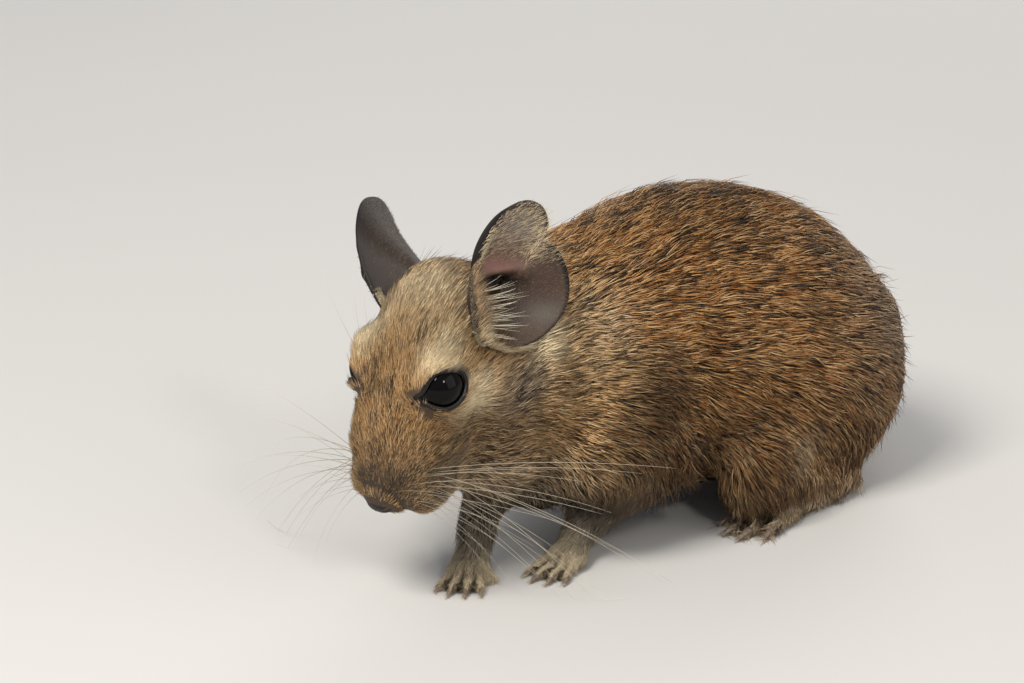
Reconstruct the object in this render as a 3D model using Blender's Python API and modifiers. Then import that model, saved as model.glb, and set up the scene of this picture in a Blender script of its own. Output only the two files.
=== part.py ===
"""A degu crouching on the ground, as a life-size still model.

Metres, +Z up. The animal faces -Y, +X is its left side, and the floor is z = 0. The flesh is made
whole from ellipsoids, lofts and tapered tubes, fused and smoothed, and then parted with thin cuts.
The lids, nose, mouth line, ears, toes and the brush of the tail are added to the nodes they grow from.
"""

import math

import bmesh
import bpy
import numpy as np
from mathutils import Matrix, Vector
from mathutils.bvhtree import BVHTree

MM = 0.001
GAP = 0.3  # mm, between two nodes that meet

# The head's own frame: x to its left, y back from the nose tip, z towards the crown
NOSE_TIP = (6.5, -75.0, 22.0)  # mm
HEAD_YAW = math.radians(12.5)  # towards the animal's left
HEAD_PITCH = math.radians(53.5)  # nose down
HEAD = (
    Matrix.Translation(Vector(NOSE_TIP) * MM)
    @ Matrix.Rotation(HEAD_YAW, 4, "Z")
    @ Matrix.Rotation(HEAD_PITCH, 4, "X")
)
WORLD = Matrix()

SKULL_SECTIONS = (  # mm: back from the nose tip, half width, height over the axis, depth under it
    (-2.6, 0.8, 1.4, 1.0),
    (-1.8, 3.2, 3.2, 3.0),
    (0.6, 5.8, 4.9, 6.2),
    (4.5, 7.8, 6.6, 8.8),
    (9.5, 9.2, 9.0, 10.4),
    (15.0, 10.6, 11.4, 12.0),
    (21.0, 12.2, 13.4, 13.6),
    (27.0, 13.8, 14.5, 15.6),
    (33.0, 14.3, 14.2, 16.8),
    (38.0, 13.9, 12.8, 16.8),
    (43.5, 12.6, 9.8, 15.0),
    (47.0, 9.0, 5.5, 9.0),
    (48.5, 3.0, 1.5, 3.0),
)
SKULL_SQUARENESS = 2.2  # 2 is an ellipse
HEAD_FORMS = (  # mm, in the head's frame: name, centre, radii; those off the middle are on both sides
    ("cheek", (9.5, 29.0, -5.0), (8.4, 11.5, 10.5)),
    ("whisker_pad", (5.8, 4.8, -2.2), (4.9, 6.2, 5.4)),
    ("muzzle_side", (6.8, 14.0, 0.5), (5.3, 10.5, 7.2)),
    ("brow", (7.8, 24.0, 9.6), (4.8, 6.6, 4.4)),
    ("jaw", (0.0, 12.0, -10.0), (7.0, 9.5, 5.5)),
    ("nape", (0.0, 39.0, 0.0), (12.5, 9.0, 11.5)),
)

TRUNK_SECTIONS = (  # mm: along the body, to its left, height of the middle, half width, over it, under it
    (-52, 5.5, 46, 8.0, 9.0, 12.0),
    (-47, 4.6, 44, 14.5, 15.0, 20.0),
    (-38, 3.0, 41, 18.5, 19.0, 26.0),
    (-28, 1.6, 38, 21.5, 23.0, 29.0),
    (-16, 0.6, 36, 24.0, 27.0, 31.0),
    (-2, 0.0, 35, 26.0, 30.0, 31.0),
    (12, 0.0, 34, 27.5, 30.5, 30.0),
    (25, 0.0, 33, 27.5, 28.5, 29.0),
    (37, 0.0, 31, 25.0, 24.5, 27.0),
    (47, 0.0, 29, 19.5, 18.5, 23.0),
    (53, 0.0, 27, 12.5, 12.0, 17.0),
    (56.5, 0.0, 25, 5.0, 5.0, 8.0),
)
TRUNK_SQUARENESS = 2.15
TRUNK_FORMS = (  # mm, in the world: name, centre, radii, and degrees tipped forward
    ("throat", (4.0, -46.0, 36.0), (14.0, 12.0, 15.0), 0),
    ("chest", (2.5, -36.0, 25.0), (16.0, 13.0, 16.0), 0),
    ("bib", (4.0, -47.0, 25.5), (13.0, 11.5, 12.5), 0),
    ("shoulder_left", (17.5, -25.0, 30.0), (9.5, 15.0, 20.0), -20),
    ("shoulder_right", (-14.5, -29.0, 30.0), (9.5, 15.0, 20.0), -20),
    ("haunch_left", (18.0, 27.0, 26.0), (11.5, 24.0, 23.0), 25),
    ("haunch_right", (-18.0, 27.0, 26.0), (11.5, 24.0, 23.0), 25),
    ("knee_left", (22.5, 6.0, 12.5), (7.5, 10.0, 10.5), 0),
    ("knee_right", (-22.5, 6.0, 12.5), (7.5, 10.0, 10.5), 0),
)

EYE_RADIUS = 4.8  # mm
EYE_CENTRE = (7.6, 21.8, 7.7)  # mm, in the head's frame, for the left eye
EYE_LOOK = (0.84, -0.22, 0.48)
EYE_TILT = math.radians(-25)  # the outer corner of the lids down from the head's axis
LID_HALF_LENGTH = 4.4  # mm
LID_HALF_HEIGHT = 3.5
LID_RIM = 0.55
LID_STEPS = 20
LID_OVER_EYE = 0.9

NOSE_PAD_CENTRE = (0.0, -1.2, 0.6)  # mm, in the head's frame, as are the rest of the face
NOSE_PAD_RADII = (3.2, 1.7, 2.2)
NOSTRIL_CENTRE = (1.7, -2.6, 0.6)
NOSTRIL_RADII = (0.95, 1.9, 0.55)
MOUTH_HALF_WIDTH = 5.6
MOUTH_BACK = 8.5
MOUTH_HEIGHT = -4.6
MOUTH_DROOP = 3.4
MOUTH_GROOVE = 0.45
CLEFT_GROOVE = 0.35

EAR_BASE = {  # mm, in the head's frame, both given as if on its left
    "left": (13.2, 36.0, 6.4),
    "right": (12.6, 36.3, 5.4),
}
EAR_FACING = {"left": 62, "right": 90}  # degrees, the way it opens, from straight ahead to the side
EAR_WALL = 0.8
EAR_DEPTH = 7.2
EAR_RIM = (  # mm: across from the front edge to the rear edge, up, and out of the cup, round the rim
    (-4.0, 0.0, 1.4),
    (-5.4, 4.8, 1.8),
    (-6.4, 10.8, 1.5),
    (-5.6, 16.0, 0.9),
    (-2.9, 20.6, 0.5),
    (0.9, 23.2, 0.2),
    (4.2, 23.9, 0.0),
    (7.0, 22.6, 0.2),
    (8.3, 19.6, 0.6),
    (8.1, 16.4, 0.8),
    (11.6, 13.8, -0.2),
    (14.2, 9.8, -0.8),
    (15.3, 5.4, -1.0),
    (14.6, 1.4, -0.9),
    (12.0, -2.0, -0.6),
    (8.4, -4.2, -0.2),
    (4.0, -4.9, 0.2),
    (0.6, -4.6, 0.5),
    (-2.4, -3.2, 0.9),
)
EAR_LEANS = {  # degrees: outward, and back
    "left": (5, 5),
    "right": (37, 40),
}
EAR_RIM_STEPS = 32
EAR_BOWL_STEPS = 6
EAR_STALK = ((0.0, 0.2, -6.2), (-0.5, -1.5, -9.5), (-1.0, -3.0, -13.0))  # mm, in the ear's frame
EAR_STALK_RADII = (4.2, 5.0, 5.5)

# Each foot: the middle of its palm or sole on the floor, and the way its toes point
FORE_SOLE = {"left": (14.5, -36.0, 19), "right": (6.0, -54.0, 38)}  # mm, mm, degrees to the left
HIND_SOLE = {"left": (22.0, 20.0, 8), "right": (-22.0, 18.0, -8)}
ELBOW = {"left": (20.0, -13.0, 20.0), "right": (-15.0, -27.0, 18.0)}  # mm
SHOULDER = {"left": (18.0, -24.0, 31.0), "right": (-14.0, -29.0, 31.0)}
KNEE = {"left": (22.5, 6.0, 12.5), "right": (-22.5, 6.0, 12.5)}

# Toes in the foot's frame, where -y is ahead: root x, root y, tip x, tip y, in mm
FORE_TOES = (
    (-2.9, -3.2, -4.3, -8.0),
    (-1.1, -4.2, -1.7, -10.0),
    (1.0, -4.2, 1.3, -9.8),
    (2.8, -3.4, 3.9, -8.2),
)
HIND_TOES = (
    (-3.4, -10.5, -5.4, -17.4),
    (-1.2, -12.0, -1.8, -21.0),
    (1.1, -12.0, 1.5, -20.6),
    (3.3, -10.8, 4.8, -17.6),
)
FORE_THUMB = (3.4, 0.2, 5.2, -2.6)  # on the inner side
HIND_THUMB = (3.4, -4.5, 5.4, -9.4)
FORE_TOE_RADIUS = 1.15
HIND_TOE_RADIUS = 1.5
FORE_CLAW = 1.8
HIND_CLAW = 3.0
THUMB_SHARE = 0.75

TAIL_ROUTE = (  # mm, from inside the rump, round the right flank and forward along the floor
    (1.0, 42.0, 19.0),
    (-2.0, 50.0, 15.5),
    (-8.0, 56.5, 11.0),
    (-16.5, 60.5, 7.4),
    (-26.0, 60.0, 5.0),
    (-35.0, 55.0, 3.9),
    (-42.0, 47.0, 3.4),
    (-47.0, 37.5, 3.1),
    (-50.0, 27.0, 2.9),
    (-52.0, 16.0, 2.8),
    (-53.0, 5.0, 2.7),
    (-53.0, -6.0, 2.7),
    (-52.3, -17.0, 2.7),
)
TAIL_RADII = (6.0, 5.2, 4.6, 4.1, 3.8, 3.5, 3.2, 3.0, 2.85, 2.75, 2.65, 2.4, 1.2)  # mm
TAIL_BASE_END = 0.36  # shares of the tail's length
TAIL_MIDDLE_END = 0.68
TAIL_RING_STEP = 4.0  # mm
TAIL_END_PAIR = 0.6  # mm
BRUSH_LOCKS = 20
BRUSH_LOCK_LENGTHS = (9.0, 14.0)  # mm, from the front of the brush to its tip
BRUSH_LOCK_WIDTHS = (2.3, 3.0)
GOLDEN_ANGLE = math.pi * (3 - math.sqrt(5))

# How the flesh is fused
VOXEL = 0.95  # mm
SMOOTHING_STEPS = 5
FLESH_TRIANGLES = 3700

BIG = 300.0  # mm, larger than the animal


# Objects and collections


def clear_scene():
    for obj in list(bpy.data.objects):
        bpy.data.objects.remove(obj)


def new_collection(name):
    made = bpy.data.collections.new(name)
    bpy.context.scene.collection.children.link(made)
    return made


def new_object(name, mesh, into):
    obj = bpy.data.objects.new(name, mesh)
    into.objects.link(obj)
    return obj


def as_cutter(obj):
    obj.hide_render = True
    obj.display_type = "WIRE"
    return obj


def evaluated_mesh(obj):
    graph = bpy.context.evaluated_depsgraph_get()
    return bpy.data.meshes.new_from_object(obj.evaluated_get(graph))


def apply_modifiers(obj):
    mesh = evaluated_mesh(obj)
    old = obj.data
    obj.modifiers.clear()
    obj.data = mesh
    bpy.data.meshes.remove(old)


def turn_outward(mesh):
    bm = bmesh.new()
    bm.from_mesh(mesh)
    bmesh.ops.recalc_face_normals(bm, faces=bm.faces)
    bm.to_mesh(mesh)
    bm.free()


# Closed shapes


def eased(rows, count):
    """Reads a table at even steps along a Catmull-Rom curve through its rows."""
    rows = np.array(rows, float)
    padded = np.vstack([2 * rows[0] - rows[1], rows, 2 * rows[-1] - rows[-2]])
    at = np.linspace(0, len(rows) - 1, count)
    i = np.minimum(at.astype(int), len(rows) - 2)
    t = (at - i)[:, None]
    a, b, c, d = (padded[i + k] for k in range(4))
    bend = (2 * a - 5 * b + 4 * c - d) * t**2 + (3 * b - a - 3 * c + d) * t**3
    return 0.5 * (2 * b + (c - a) * t + bend)


def ellipsoid(name, centre, radii, into, space=WORLD, turn=WORLD, segments=28, rings=18):
    """An ellipsoid in the given space; its centre and radii are in millimetres."""
    mesh = bpy.data.meshes.new(name)
    bm = bmesh.new()
    bmesh.ops.create_uvsphere(bm, u_segments=segments, v_segments=rings, radius=1.0)
    size = Matrix.Diagonal((*(Vector(radii) * MM), 1.0))
    bm.transform(space @ Matrix.Translation(Vector(centre) * MM) @ turn @ size)
    bm.to_mesh(mesh)
    bm.free()
    turn_outward(mesh)
    return new_object(name, mesh, into)


def block(name, low, high, into, space=WORLD):
    """A box between two corners, in millimetres, in the given space."""
    low = Vector(low) * MM
    high = Vector(high) * MM
    mesh = bpy.data.meshes.new(name)
    bm = bmesh.new()
    bmesh.ops.create_cube(bm, size=1.0)
    bm.transform(space @ Matrix.Translation((low + high) / 2) @ Matrix.Diagonal((*(high - low), 1.0)))
    bm.to_mesh(mesh)
    bm.free()
    turn_outward(mesh)
    return as_cutter(new_object(name, mesh, into))


def loft(name, rings, into):
    """Skins a stack of closed rings, an array (rings, sides, 3) in metres, with a fan at each end."""
    count, sides, _ = rings.shape
    points = [tuple(p) for p in rings.reshape(-1, 3)]
    faces = []
    for i in range(count - 1):
        for j in range(sides):
            k = (j + 1) % sides
            faces.append((i * sides + j, i * sides + k, (i + 1) * sides + k, (i + 1) * sides + j))
    for ring in (0, count - 1):
        pole = len(points)
        points.append(tuple(rings[ring].mean(axis=0)))
        for j in range(sides):
            faces.append((ring * sides + j, ring * sides + (j + 1) % sides, pole))
    mesh = bpy.data.meshes.new(name)
    mesh.from_pydata(points, [], faces)
    turn_outward(mesh)
    return new_object(name, mesh, into)


def oval_rings(along, across, height, half_width, over, under, squareness, sides):
    """Upright rings across the y axis, each taller above its middle line than below, or the reverse."""
    turn = np.linspace(0, 2 * math.pi, sides, endpoint=False)
    sideways = np.sign(np.cos(turn)) * np.abs(np.cos(turn)) ** (2 / squareness)
    upward = np.sign(np.sin(turn)) * np.abs(np.sin(turn)) ** (2 / squareness)
    x = across[:, None] + half_width[:, None] * sideways
    y = np.repeat(along[:, None], sides, axis=1)
    z = height[:, None] + np.where(upward > 0, over[:, None], under[:, None]) * upward
    return np.stack([x, y, z], axis=-1)


def tube(name, points, radii, into, sides=12, closed=False, steps=0):
    """A round tube along points in millimetres, with a radius at each, made a mesh and closed."""
    rows = np.column_stack([np.array(points, float), np.broadcast_to(radii, len(points))])
    if steps:
        rows = eased(rows, steps)
    curve = bpy.data.curves.new(name, "CURVE")
    curve.dimensions = "3D"
    curve.bevel_depth = MM
    curve.bevel_resolution = sides // 2 - 2
    curve.use_fill_caps = not closed
    spline = curve.splines.new("POLY")
    spline.points.add(len(rows) - 1)
    for at, row in zip(spline.points, rows):
        at.co = (*(row[:3] * MM), 1.0)
        at.radius = row[3]
    spline.use_cyclic_u = closed
    line = new_object(name, curve, into)
    mesh = evaluated_mesh(line)
    bpy.data.objects.remove(line)
    bm = bmesh.new()
    bm.from_mesh(mesh)
    bmesh.ops.remove_doubles(bm, verts=bm.verts, dist=0.001 * MM)
    bmesh.ops.recalc_face_normals(bm, faces=bm.faces)
    bm.to_mesh(mesh)
    bm.free()
    return new_object(name, mesh, into)


# Joining and cutting


def joined(name, pieces, into):
    """One mesh from several closed ones that still overlap."""
    bm = bmesh.new()
    for piece in pieces:
        bm.from_mesh(piece.data)
        bpy.data.objects.remove(piece)
    mesh = bpy.data.meshes.new(name)
    bm.to_mesh(mesh)
    bm.free()
    return new_object(name, mesh, into)


def signed_volume(faces):
    total = 0.0
    for face in faces:
        corners = [v.co for v in face.verts]
        for b, c in zip(corners[1:], corners[2:]):
            total += corners[0].dot(b.cross(c))
    return total


def keep_largest(obj):
    """Drops every closed surface but the one with the most volume."""
    bm = bmesh.new()
    bm.from_mesh(obj.data)
    unseen = set(bm.faces)
    surfaces = []
    while unseen:
        surface = []
        waiting = [unseen.pop()]
        while waiting:
            face = waiting.pop()
            surface.append(face)
            for edge in face.edges:
                for near in edge.link_faces:
                    if near in unseen:
                        unseen.remove(near)
                        waiting.append(near)
        surfaces.append(surface)
    surfaces.sort(key=signed_volume)
    scraps = [face for surface in surfaces[:-1] for face in surface]
    if scraps:
        bmesh.ops.delete(bm, geom=scraps, context="FACES")
        bm.to_mesh(obj.data)
    bm.free()


def is_sound(mesh, least):
    """True where every edge has two faces and the surface holds at least a given volume."""
    bm = bmesh.new()
    bm.from_mesh(mesh)
    sound = all(edge.is_manifold for edge in bm.edges)
    sound = sound and signed_volume(bm.faces) / 6 > least
    bm.free()
    return sound


def solve(obj, set_up, least):
    """Applies one Boolean with the exact solver, or with the manifold one where that comes out unsound."""
    before = obj.data.copy()
    for solver in ("EXACT", "MANIFOLD"):
        modifier = obj.modifiers.new("solve", "BOOLEAN")
        modifier.solver = solver
        set_up(modifier)
        apply_modifiers(obj)
        keep_largest(obj)
        if is_sound(obj.data, least):
            break
        if solver == "EXACT":
            obj.data = before
            before = None
    if before:
        bpy.data.meshes.remove(before)


def volume_of(obj):
    bm = bmesh.new()
    bm.from_mesh(obj.data)
    volume = bm.calc_volume()
    bm.free()
    return volume


def cut(obj, cutter, operation="DIFFERENCE"):
    """Takes a cutter away from an object, or keeps what is inside it."""

    def set_up(modifier):
        modifier.operation = operation
        modifier.object = cutter

    least = volume_of(obj) / 4 if operation == "DIFFERENCE" else (1 * MM) ** 3
    solve(obj, set_up, least)


def fuse(obj, pieces):
    """Joins closed pieces to an object with one union, and removes them."""
    group = new_collection(obj.name + "_pieces")
    for piece in pieces:
        for holder in list(piece.users_collection):
            holder.objects.unlink(piece)
        group.objects.link(piece)

    def set_up(modifier):
        modifier.operation = "UNION"
        modifier.operand_type = "COLLECTION"
        modifier.collection = group

    solve(obj, set_up, volume_of(obj) * 0.9)
    for piece in list(group.objects):
        bpy.data.objects.remove(piece)
    bpy.data.collections.remove(group)


def trim_at_floor(obj, cutters):
    cut(obj, block("under_floor", (-BIG, -BIG, -BIG), (BIG, BIG, 0), cutters))


# Flesh


def mirrored(centre, side):
    return (centre[0] * side, centre[1], centre[2])


def skull_forms(into):
    rows = eased(SKULL_SECTIONS, 40) * MM
    none = np.zeros(len(rows))
    rings = oval_rings(rows[:, 0], none, none, *np.abs(rows[:, 1:4].T), SKULL_SQUARENESS, 36)
    skull = loft("skull", rings, into)
    skull.data.transform(HEAD)
    forms = [skull]
    for name, centre, radii in HEAD_FORMS:
        for side in (1, -1) if centre[0] else (1,):
            forms.append(ellipsoid(name, mirrored(centre, side), radii, into, HEAD))
    return forms


def trunk_forms(into):
    rows = eased(TRUNK_SECTIONS, 48) * MM
    sizes = np.abs(rows[:, 3:6].T)
    rings = oval_rings(rows[:, 0], rows[:, 1], rows[:, 2], *sizes, TRUNK_SQUARENESS, 40)
    forms = [loft("trunk", rings, into)]
    for name, centre, radii, tip in TRUNK_FORMS:
        turn = Matrix.Rotation(math.radians(tip), 4, "X")
        forms.append(ellipsoid(name, centre, radii, into, turn=turn))
    return forms


def foot_space(sole):
    """The frame of a foot: its origin on the floor under the palm, and -y towards the toes."""
    x, y, turn = sole
    return Matrix.Translation(Vector((x, y, 0)) * MM) @ Matrix.Rotation(math.radians(turn), 4, "Z")


def in_world(space, point):
    """A point in millimetres of some frame, as millimetres of the world."""
    return tuple(space @ (Vector(point) * MM) / MM)


def foreleg_forms(side, into):
    space = foot_space(FORE_SOLE[side])
    wrist = in_world(space, (0, 6.0, 7.5))
    knuckles = in_world(space, (0, -2.0, 2.6))
    arm = [SHOULDER[side], ELBOW[side]]
    return [
        tube("upper_arm", arm, (9.0, 7.5), into, 16),
        tube("forearm", [ELBOW[side], wrist], (7.2, 4.3), into, 16),
        tube("wrist", [wrist, knuckles], (4.2, 3.0), into, 14),
        ellipsoid("wrist_bone", (0, 6.0, 7.2), (4.3, 4.6, 4.6), into, space),
        ellipsoid("palm", (0, -1.2, 2.4), (4.2, 4.6, 3.0), into, space),
    ]


def hindleg_forms(side, into):
    space = foot_space(HIND_SOLE[side])
    heel = in_world(space, (0, 14.0, 3.8))
    ball = in_world(space, (0, -9.0, 2.8))
    return [
        tube("shank", [KNEE[side], heel], (7.5, 4.6), into, 16),
        tube("sole", [heel, ball], (3.6, 3.8), into, 16),
        ellipsoid("ball", (0, -9.5, 2.6), (4.8, 5.0, 3.0), into, space),
    ]


def coarsen(obj, triangles):
    """Thins the triangles, most where the form is plain."""
    count = sum(len(p.vertices) - 2 for p in obj.data.polygons)
    modifier = obj.modifiers.new("coarsen", "DECIMATE")
    modifier.ratio = triangles / count
    modifier.use_collapse_triangulate = True
    apply_modifiers(obj)


def whole_flesh(into):
    """The head, trunk and limbs as one smooth closed surface."""
    forms = skull_forms(into) + trunk_forms(into)
    for side in ("left", "right"):
        forms += foreleg_forms(side, into) + hindleg_forms(side, into)
    flesh = joined("flesh", forms, into)
    remesh = flesh.modifiers.new("fuse", "REMESH")
    remesh.mode = "VOXEL"
    remesh.voxel_size = VOXEL * MM
    smooth = flesh.modifiers.new("smooth", "SMOOTH")
    smooth.factor = 0.5
    smooth.iterations = SMOOTHING_STEPS
    apply_modifiers(flesh)
    keep_largest(flesh)
    coarsen(flesh, FLESH_TRIANGLES)
    trim_at_floor(flesh, into)
    return as_cutter(flesh)


def grown_copy(obj, by, into):
    """A copy swollen by a few tenths of a millimetre, which cuts what rests against the original."""
    copy = as_cutter(new_object(obj.name + "_grown", obj.data.copy(), into))
    modifier = copy.modifiers.new("grow", "DISPLACE")
    modifier.strength = by * MM
    modifier.mid_level = 0.0
    apply_modifiers(copy)
    return copy


def part_off(rest, name, shape, parts, cutters):
    """Makes the node inside a shape, and takes the shape with its gap away from the rest.

    The shape is a function of the margin to grow by.
    """
    kept = as_cutter(shape(name + "_kept", 0.0))
    cleared = as_cutter(shape(name + "_cleared", GAP))
    node = new_object(name, rest.data.copy(), parts)
    cut(node, kept, "INTERSECT")
    cut(rest, cleared)
    return node


def grown_block(low, high, space, into):
    def shape(name, margin):
        grown_low = [v - margin for v in low]
        grown_high = [v + margin for v in high]
        return block(name, grown_low, grown_high, into, space)

    return shape


def grown_egg(centre, radii, into, space=WORLD):
    def shape(name, margin):
        grown = [v + margin for v in radii]
        return ellipsoid(name, centre, grown, into, space, segments=22, rings=14)

    return shape


# Face


def eye_space(side):
    """The frame of an eye: z looks out of the head, x runs along the lids towards the ear."""
    look = Vector((EYE_LOOK[0] * side, EYE_LOOK[1], EYE_LOOK[2])).normalized()
    back = Vector((0, 1, 0))
    along = (back - look * back.dot(look)).normalized()
    along.rotate(Matrix.Rotation(EYE_TILT * side, 3, look))
    over = look.cross(along) * side
    turn = Matrix((along, over, look)).transposed().to_4x4()
    return HEAD @ Matrix.Translation(Vector(mirrored(EYE_CENTRE, side)) * MM) @ turn


def almond(angle):
    """The outline of the open lids round the line of sight, along them and over them, in millimetres."""
    along = LID_HALF_LENGTH * math.cos(angle)
    over = LID_HALF_HEIGHT * math.sin(angle) * (1 - 0.35 * abs(math.cos(angle)) ** 3)
    return along, over


def lid_rim(side, into):
    """The thick edge of the lids, a closed ring over the eyeball."""
    space = eye_space(side)
    line = []
    for step in range(LID_STEPS):
        along, over = almond(2 * math.pi * step / LID_STEPS)
        out = math.sqrt((EYE_RADIUS + LID_OVER_EYE / 2) ** 2 - along**2 - over**2)
        line.append(in_world(space, (along, over, out)))
    return tube("lid_rim", line, LID_RIM, into, 6, closed=True)


def lid_opening(side, into):
    """An almond prism along the line of sight, which opens the lids."""
    turns = [2 * math.pi * step / LID_STEPS for step in range(LID_STEPS)]
    outline = np.array([almond(angle) for angle in turns]) * (1 - LID_RIM / LID_HALF_LENGTH)
    rings = [np.column_stack([outline, np.full(LID_STEPS, depth)]) for depth in (0.5, 2 * EYE_RADIUS)]
    prism = loft("lid_opening", np.stack(rings) * MM, into)
    prism.data.transform(eye_space(side))
    turn_outward(prism.data)
    return as_cutter(prism)


def laid_on(tree, starts, targets):
    """Points of the head's frame, each moved along the line to its target until it meets the skin."""
    found = []
    for start, target in zip(starts, targets):
        begin = HEAD @ (Vector(start) * MM)
        end = HEAD @ (Vector(target) * MM)
        hit = tree.ray_cast(begin, (end - begin).normalized())[0]
        if hit:
            found.append(tuple(hit / MM))
    return found


def mouth_line(tree):
    """From one corner of the mouth round under the nose to the other."""
    starts = []
    targets = []
    for step in range(-10, 11):
        share = step / 10
        angle = 1.4 * share
        height = MOUTH_HEIGHT - MOUTH_DROOP * abs(share) ** 1.5
        starts.append((14 * math.sin(angle), MOUTH_BACK - 16 * math.cos(angle), height))
        targets.append((0, MOUTH_BACK, height))
    return laid_on(tree, starts, targets)


def cleft_line(tree):
    heights = [-0.8 - 0.7 * step for step in range(6)]
    return laid_on(tree, [(0, -8, z) for z in heights], [(0, 12, z) for z in heights])


def finish_face(head, cutters):
    """Lids, nose pad, eye sockets, nostrils, mouth line and the cleft above it."""
    middle = (0, 0, 0)
    pieces = [ellipsoid("nose_pad", NOSE_PAD_CENTRE, NOSE_PAD_RADII, cutters, HEAD, segments=16, rings=10)]
    for side in (1, -1):
        reach = [EYE_RADIUS + LID_OVER_EYE] * 3
        pieces.append(ellipsoid("lids", middle, reach, cutters, eye_space(side), segments=18, rings=12))
        pieces.append(lid_rim(side, cutters))
    fuse(head, pieces)
    bm = bmesh.new()
    bm.from_mesh(head.data)
    tree = BVHTree.FromBMesh(bm)
    bm.free()
    cut(head, as_cutter(tube("mouth_line", mouth_line(tree), MOUTH_GROOVE, cutters, 6)))
    cut(head, as_cutter(tube("cleft", cleft_line(tree), CLEFT_GROOVE, cutters, 6)))
    for side in (1, -1):
        reach = [EYE_RADIUS + GAP] * 3
        cut(head, lid_opening(side, cutters))
        cut(head, as_cutter(ellipsoid("socket", middle, reach, cutters, eye_space(side), segments=14, rings=10)))
        turn = Matrix.Rotation(math.radians(-35 * side), 4, "Z") @ Matrix.Rotation(math.radians(25 * side), 4, "Y")
        place = mirrored(NOSTRIL_CENTRE, side)
        cut(head, as_cutter(ellipsoid("nostril", place, NOSTRIL_RADII, cutters, HEAD, turn, 14, 8)))


def eyeball(name, side, parts):
    return ellipsoid(name, (0, 0, 0), [EYE_RADIUS] * 3, parts, eye_space(side), segments=14, rings=10)


# Ears


def ear_space(side):
    """An ear's frame on the left of the head: x from its front edge to its rear, y up, z out of it."""
    outward, back = (math.radians(angle) for angle in EAR_LEANS[side])
    facing = math.radians(EAR_FACING[side])
    yaw = Matrix.Rotation(HEAD_YAW, 3, "Z")
    lean = yaw @ Matrix.Rotation(-back, 3, "X") @ Matrix.Rotation(outward, 3, "Y")
    out = lean @ Vector((math.sin(facing), -math.cos(facing), 0))
    up = lean @ Vector((0, 0, 1))
    turn = HEAD.to_3x3().inverted() @ Matrix((up.cross(out), up, out)).transposed()
    return Matrix.Translation(Vector(EAR_BASE[side]) * MM) @ turn.to_4x4()


def ear_bowl():
    """The cup's inner face, an array (bowl, rim, 3) in millimetres, with the fold over the canal."""
    rim = eased([*EAR_RIM, EAR_RIM[0]], EAR_RIM_STEPS + 1)[:-1]
    share = np.linspace(0.12, 1.0, EAR_BOWL_STEPS)[:, None]
    across = rim[None, :, 0] * share
    up = rim[None, :, 1] * share
    out = rim[None, :, 2] * share**2 - EAR_DEPTH * (1 - share) ** 1.6
    inside = 1 - share**6
    ridge = np.exp(-(((up - 9.5) / 1.6) ** 2)) * np.clip(1.1 - np.abs(across - 1) / 8, 0, 1)
    canal_edge = np.exp(-(((np.hypot(across + 0.5, up - 0.5) - 5.2) / 1.2) ** 2))
    canal_edge = canal_edge * np.clip(up / 3, 0, 1) * np.clip(0.9 - across / 6, 0, 1)
    return np.stack([across, up, out + inside * (1.2 * ridge + 1.2 * canal_edge)], axis=-1)


def ear(side, sign, flesh_grown, parts, cutters):
    """A thin cupped ear on a short stalk, cut to sit on the head."""
    grid = ear_bowl() * MM
    rows, sides, _ = grid.shape
    points = [tuple(p) for p in grid.reshape(-1, 3)] + [tuple(grid[0].mean(axis=0))]
    faces = []
    for i in range(rows - 1):
        for j in range(sides):
            k = (j + 1) % sides
            faces.append((i * sides + j, i * sides + k, (i + 1) * sides + k, (i + 1) * sides + j))
    faces += [((j + 1) % sides, j, rows * sides) for j in range(sides)]
    name = "ear_" + side
    mesh = bpy.data.meshes.new(name)
    mesh.from_pydata(points, [], faces)
    pinna = new_object(name, mesh, parts)
    wall = pinna.modifiers.new("wall", "SOLIDIFY")
    wall.thickness = EAR_WALL * MM
    wall.offset = -1.0
    apply_modifiers(pinna)
    turn_outward(pinna.data)
    fuse(pinna, [tube("stalk", EAR_STALK, EAR_STALK_RADII, cutters, 14)])
    place = HEAD @ Matrix.Diagonal((sign, 1, 1, 1)) @ ear_space(side)
    pinna.data.transform(place)
    turn_outward(pinna.data)
    cut(pinna, flesh_grown)
    return pinna


# Feet


def toe_with_claw(name, toe, radius, claw, space, into):
    """A toe with an arched back, and the curved claw at its end."""
    root = np.array(toe[:2], float)
    tip = np.array(toe[2:], float)
    ahead = (tip - root) / np.linalg.norm(tip - root)
    places = [(*(root + (tip - root) * s), radius * h) for s, h in ((0, 1.2), (0.45, 1.25), (0.8, 1.0), (1, 0.8))]
    nail = [(*(tip + ahead * r), radius * h) for r, h in ((-0.8, 0.85), (claw * 0.55, 0.7), (claw, 0.35))]
    line = [in_world(space, p) for p in places]
    nail_line = [in_world(space, p) for p in nail]
    return [
        tube(name, line, np.array((1.0, 1.02, 0.95, 0.55)) * radius, into, 6, steps=5),
        tube(name + "_claw", nail_line, np.array((0.62, 0.42, 0.14)) * radius, into, 4),
    ]


def finish_foot(node, sole, toes, thumb, radius, claw, side, cutters):
    space = foot_space(sole)
    pieces = []
    for number, toe in enumerate(toes):
        pieces += toe_with_claw(f"toe_{number}", toe, radius, claw, space, cutters)
    inner = (-thumb[0] * side, thumb[1], -thumb[2] * side, thumb[3])
    pieces += toe_with_claw("thumb", inner, radius * THUMB_SHARE, claw * 0.5, space, cutters)
    fuse(node, pieces)
    trim_at_floor(node, cutters)


# Tail


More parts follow.
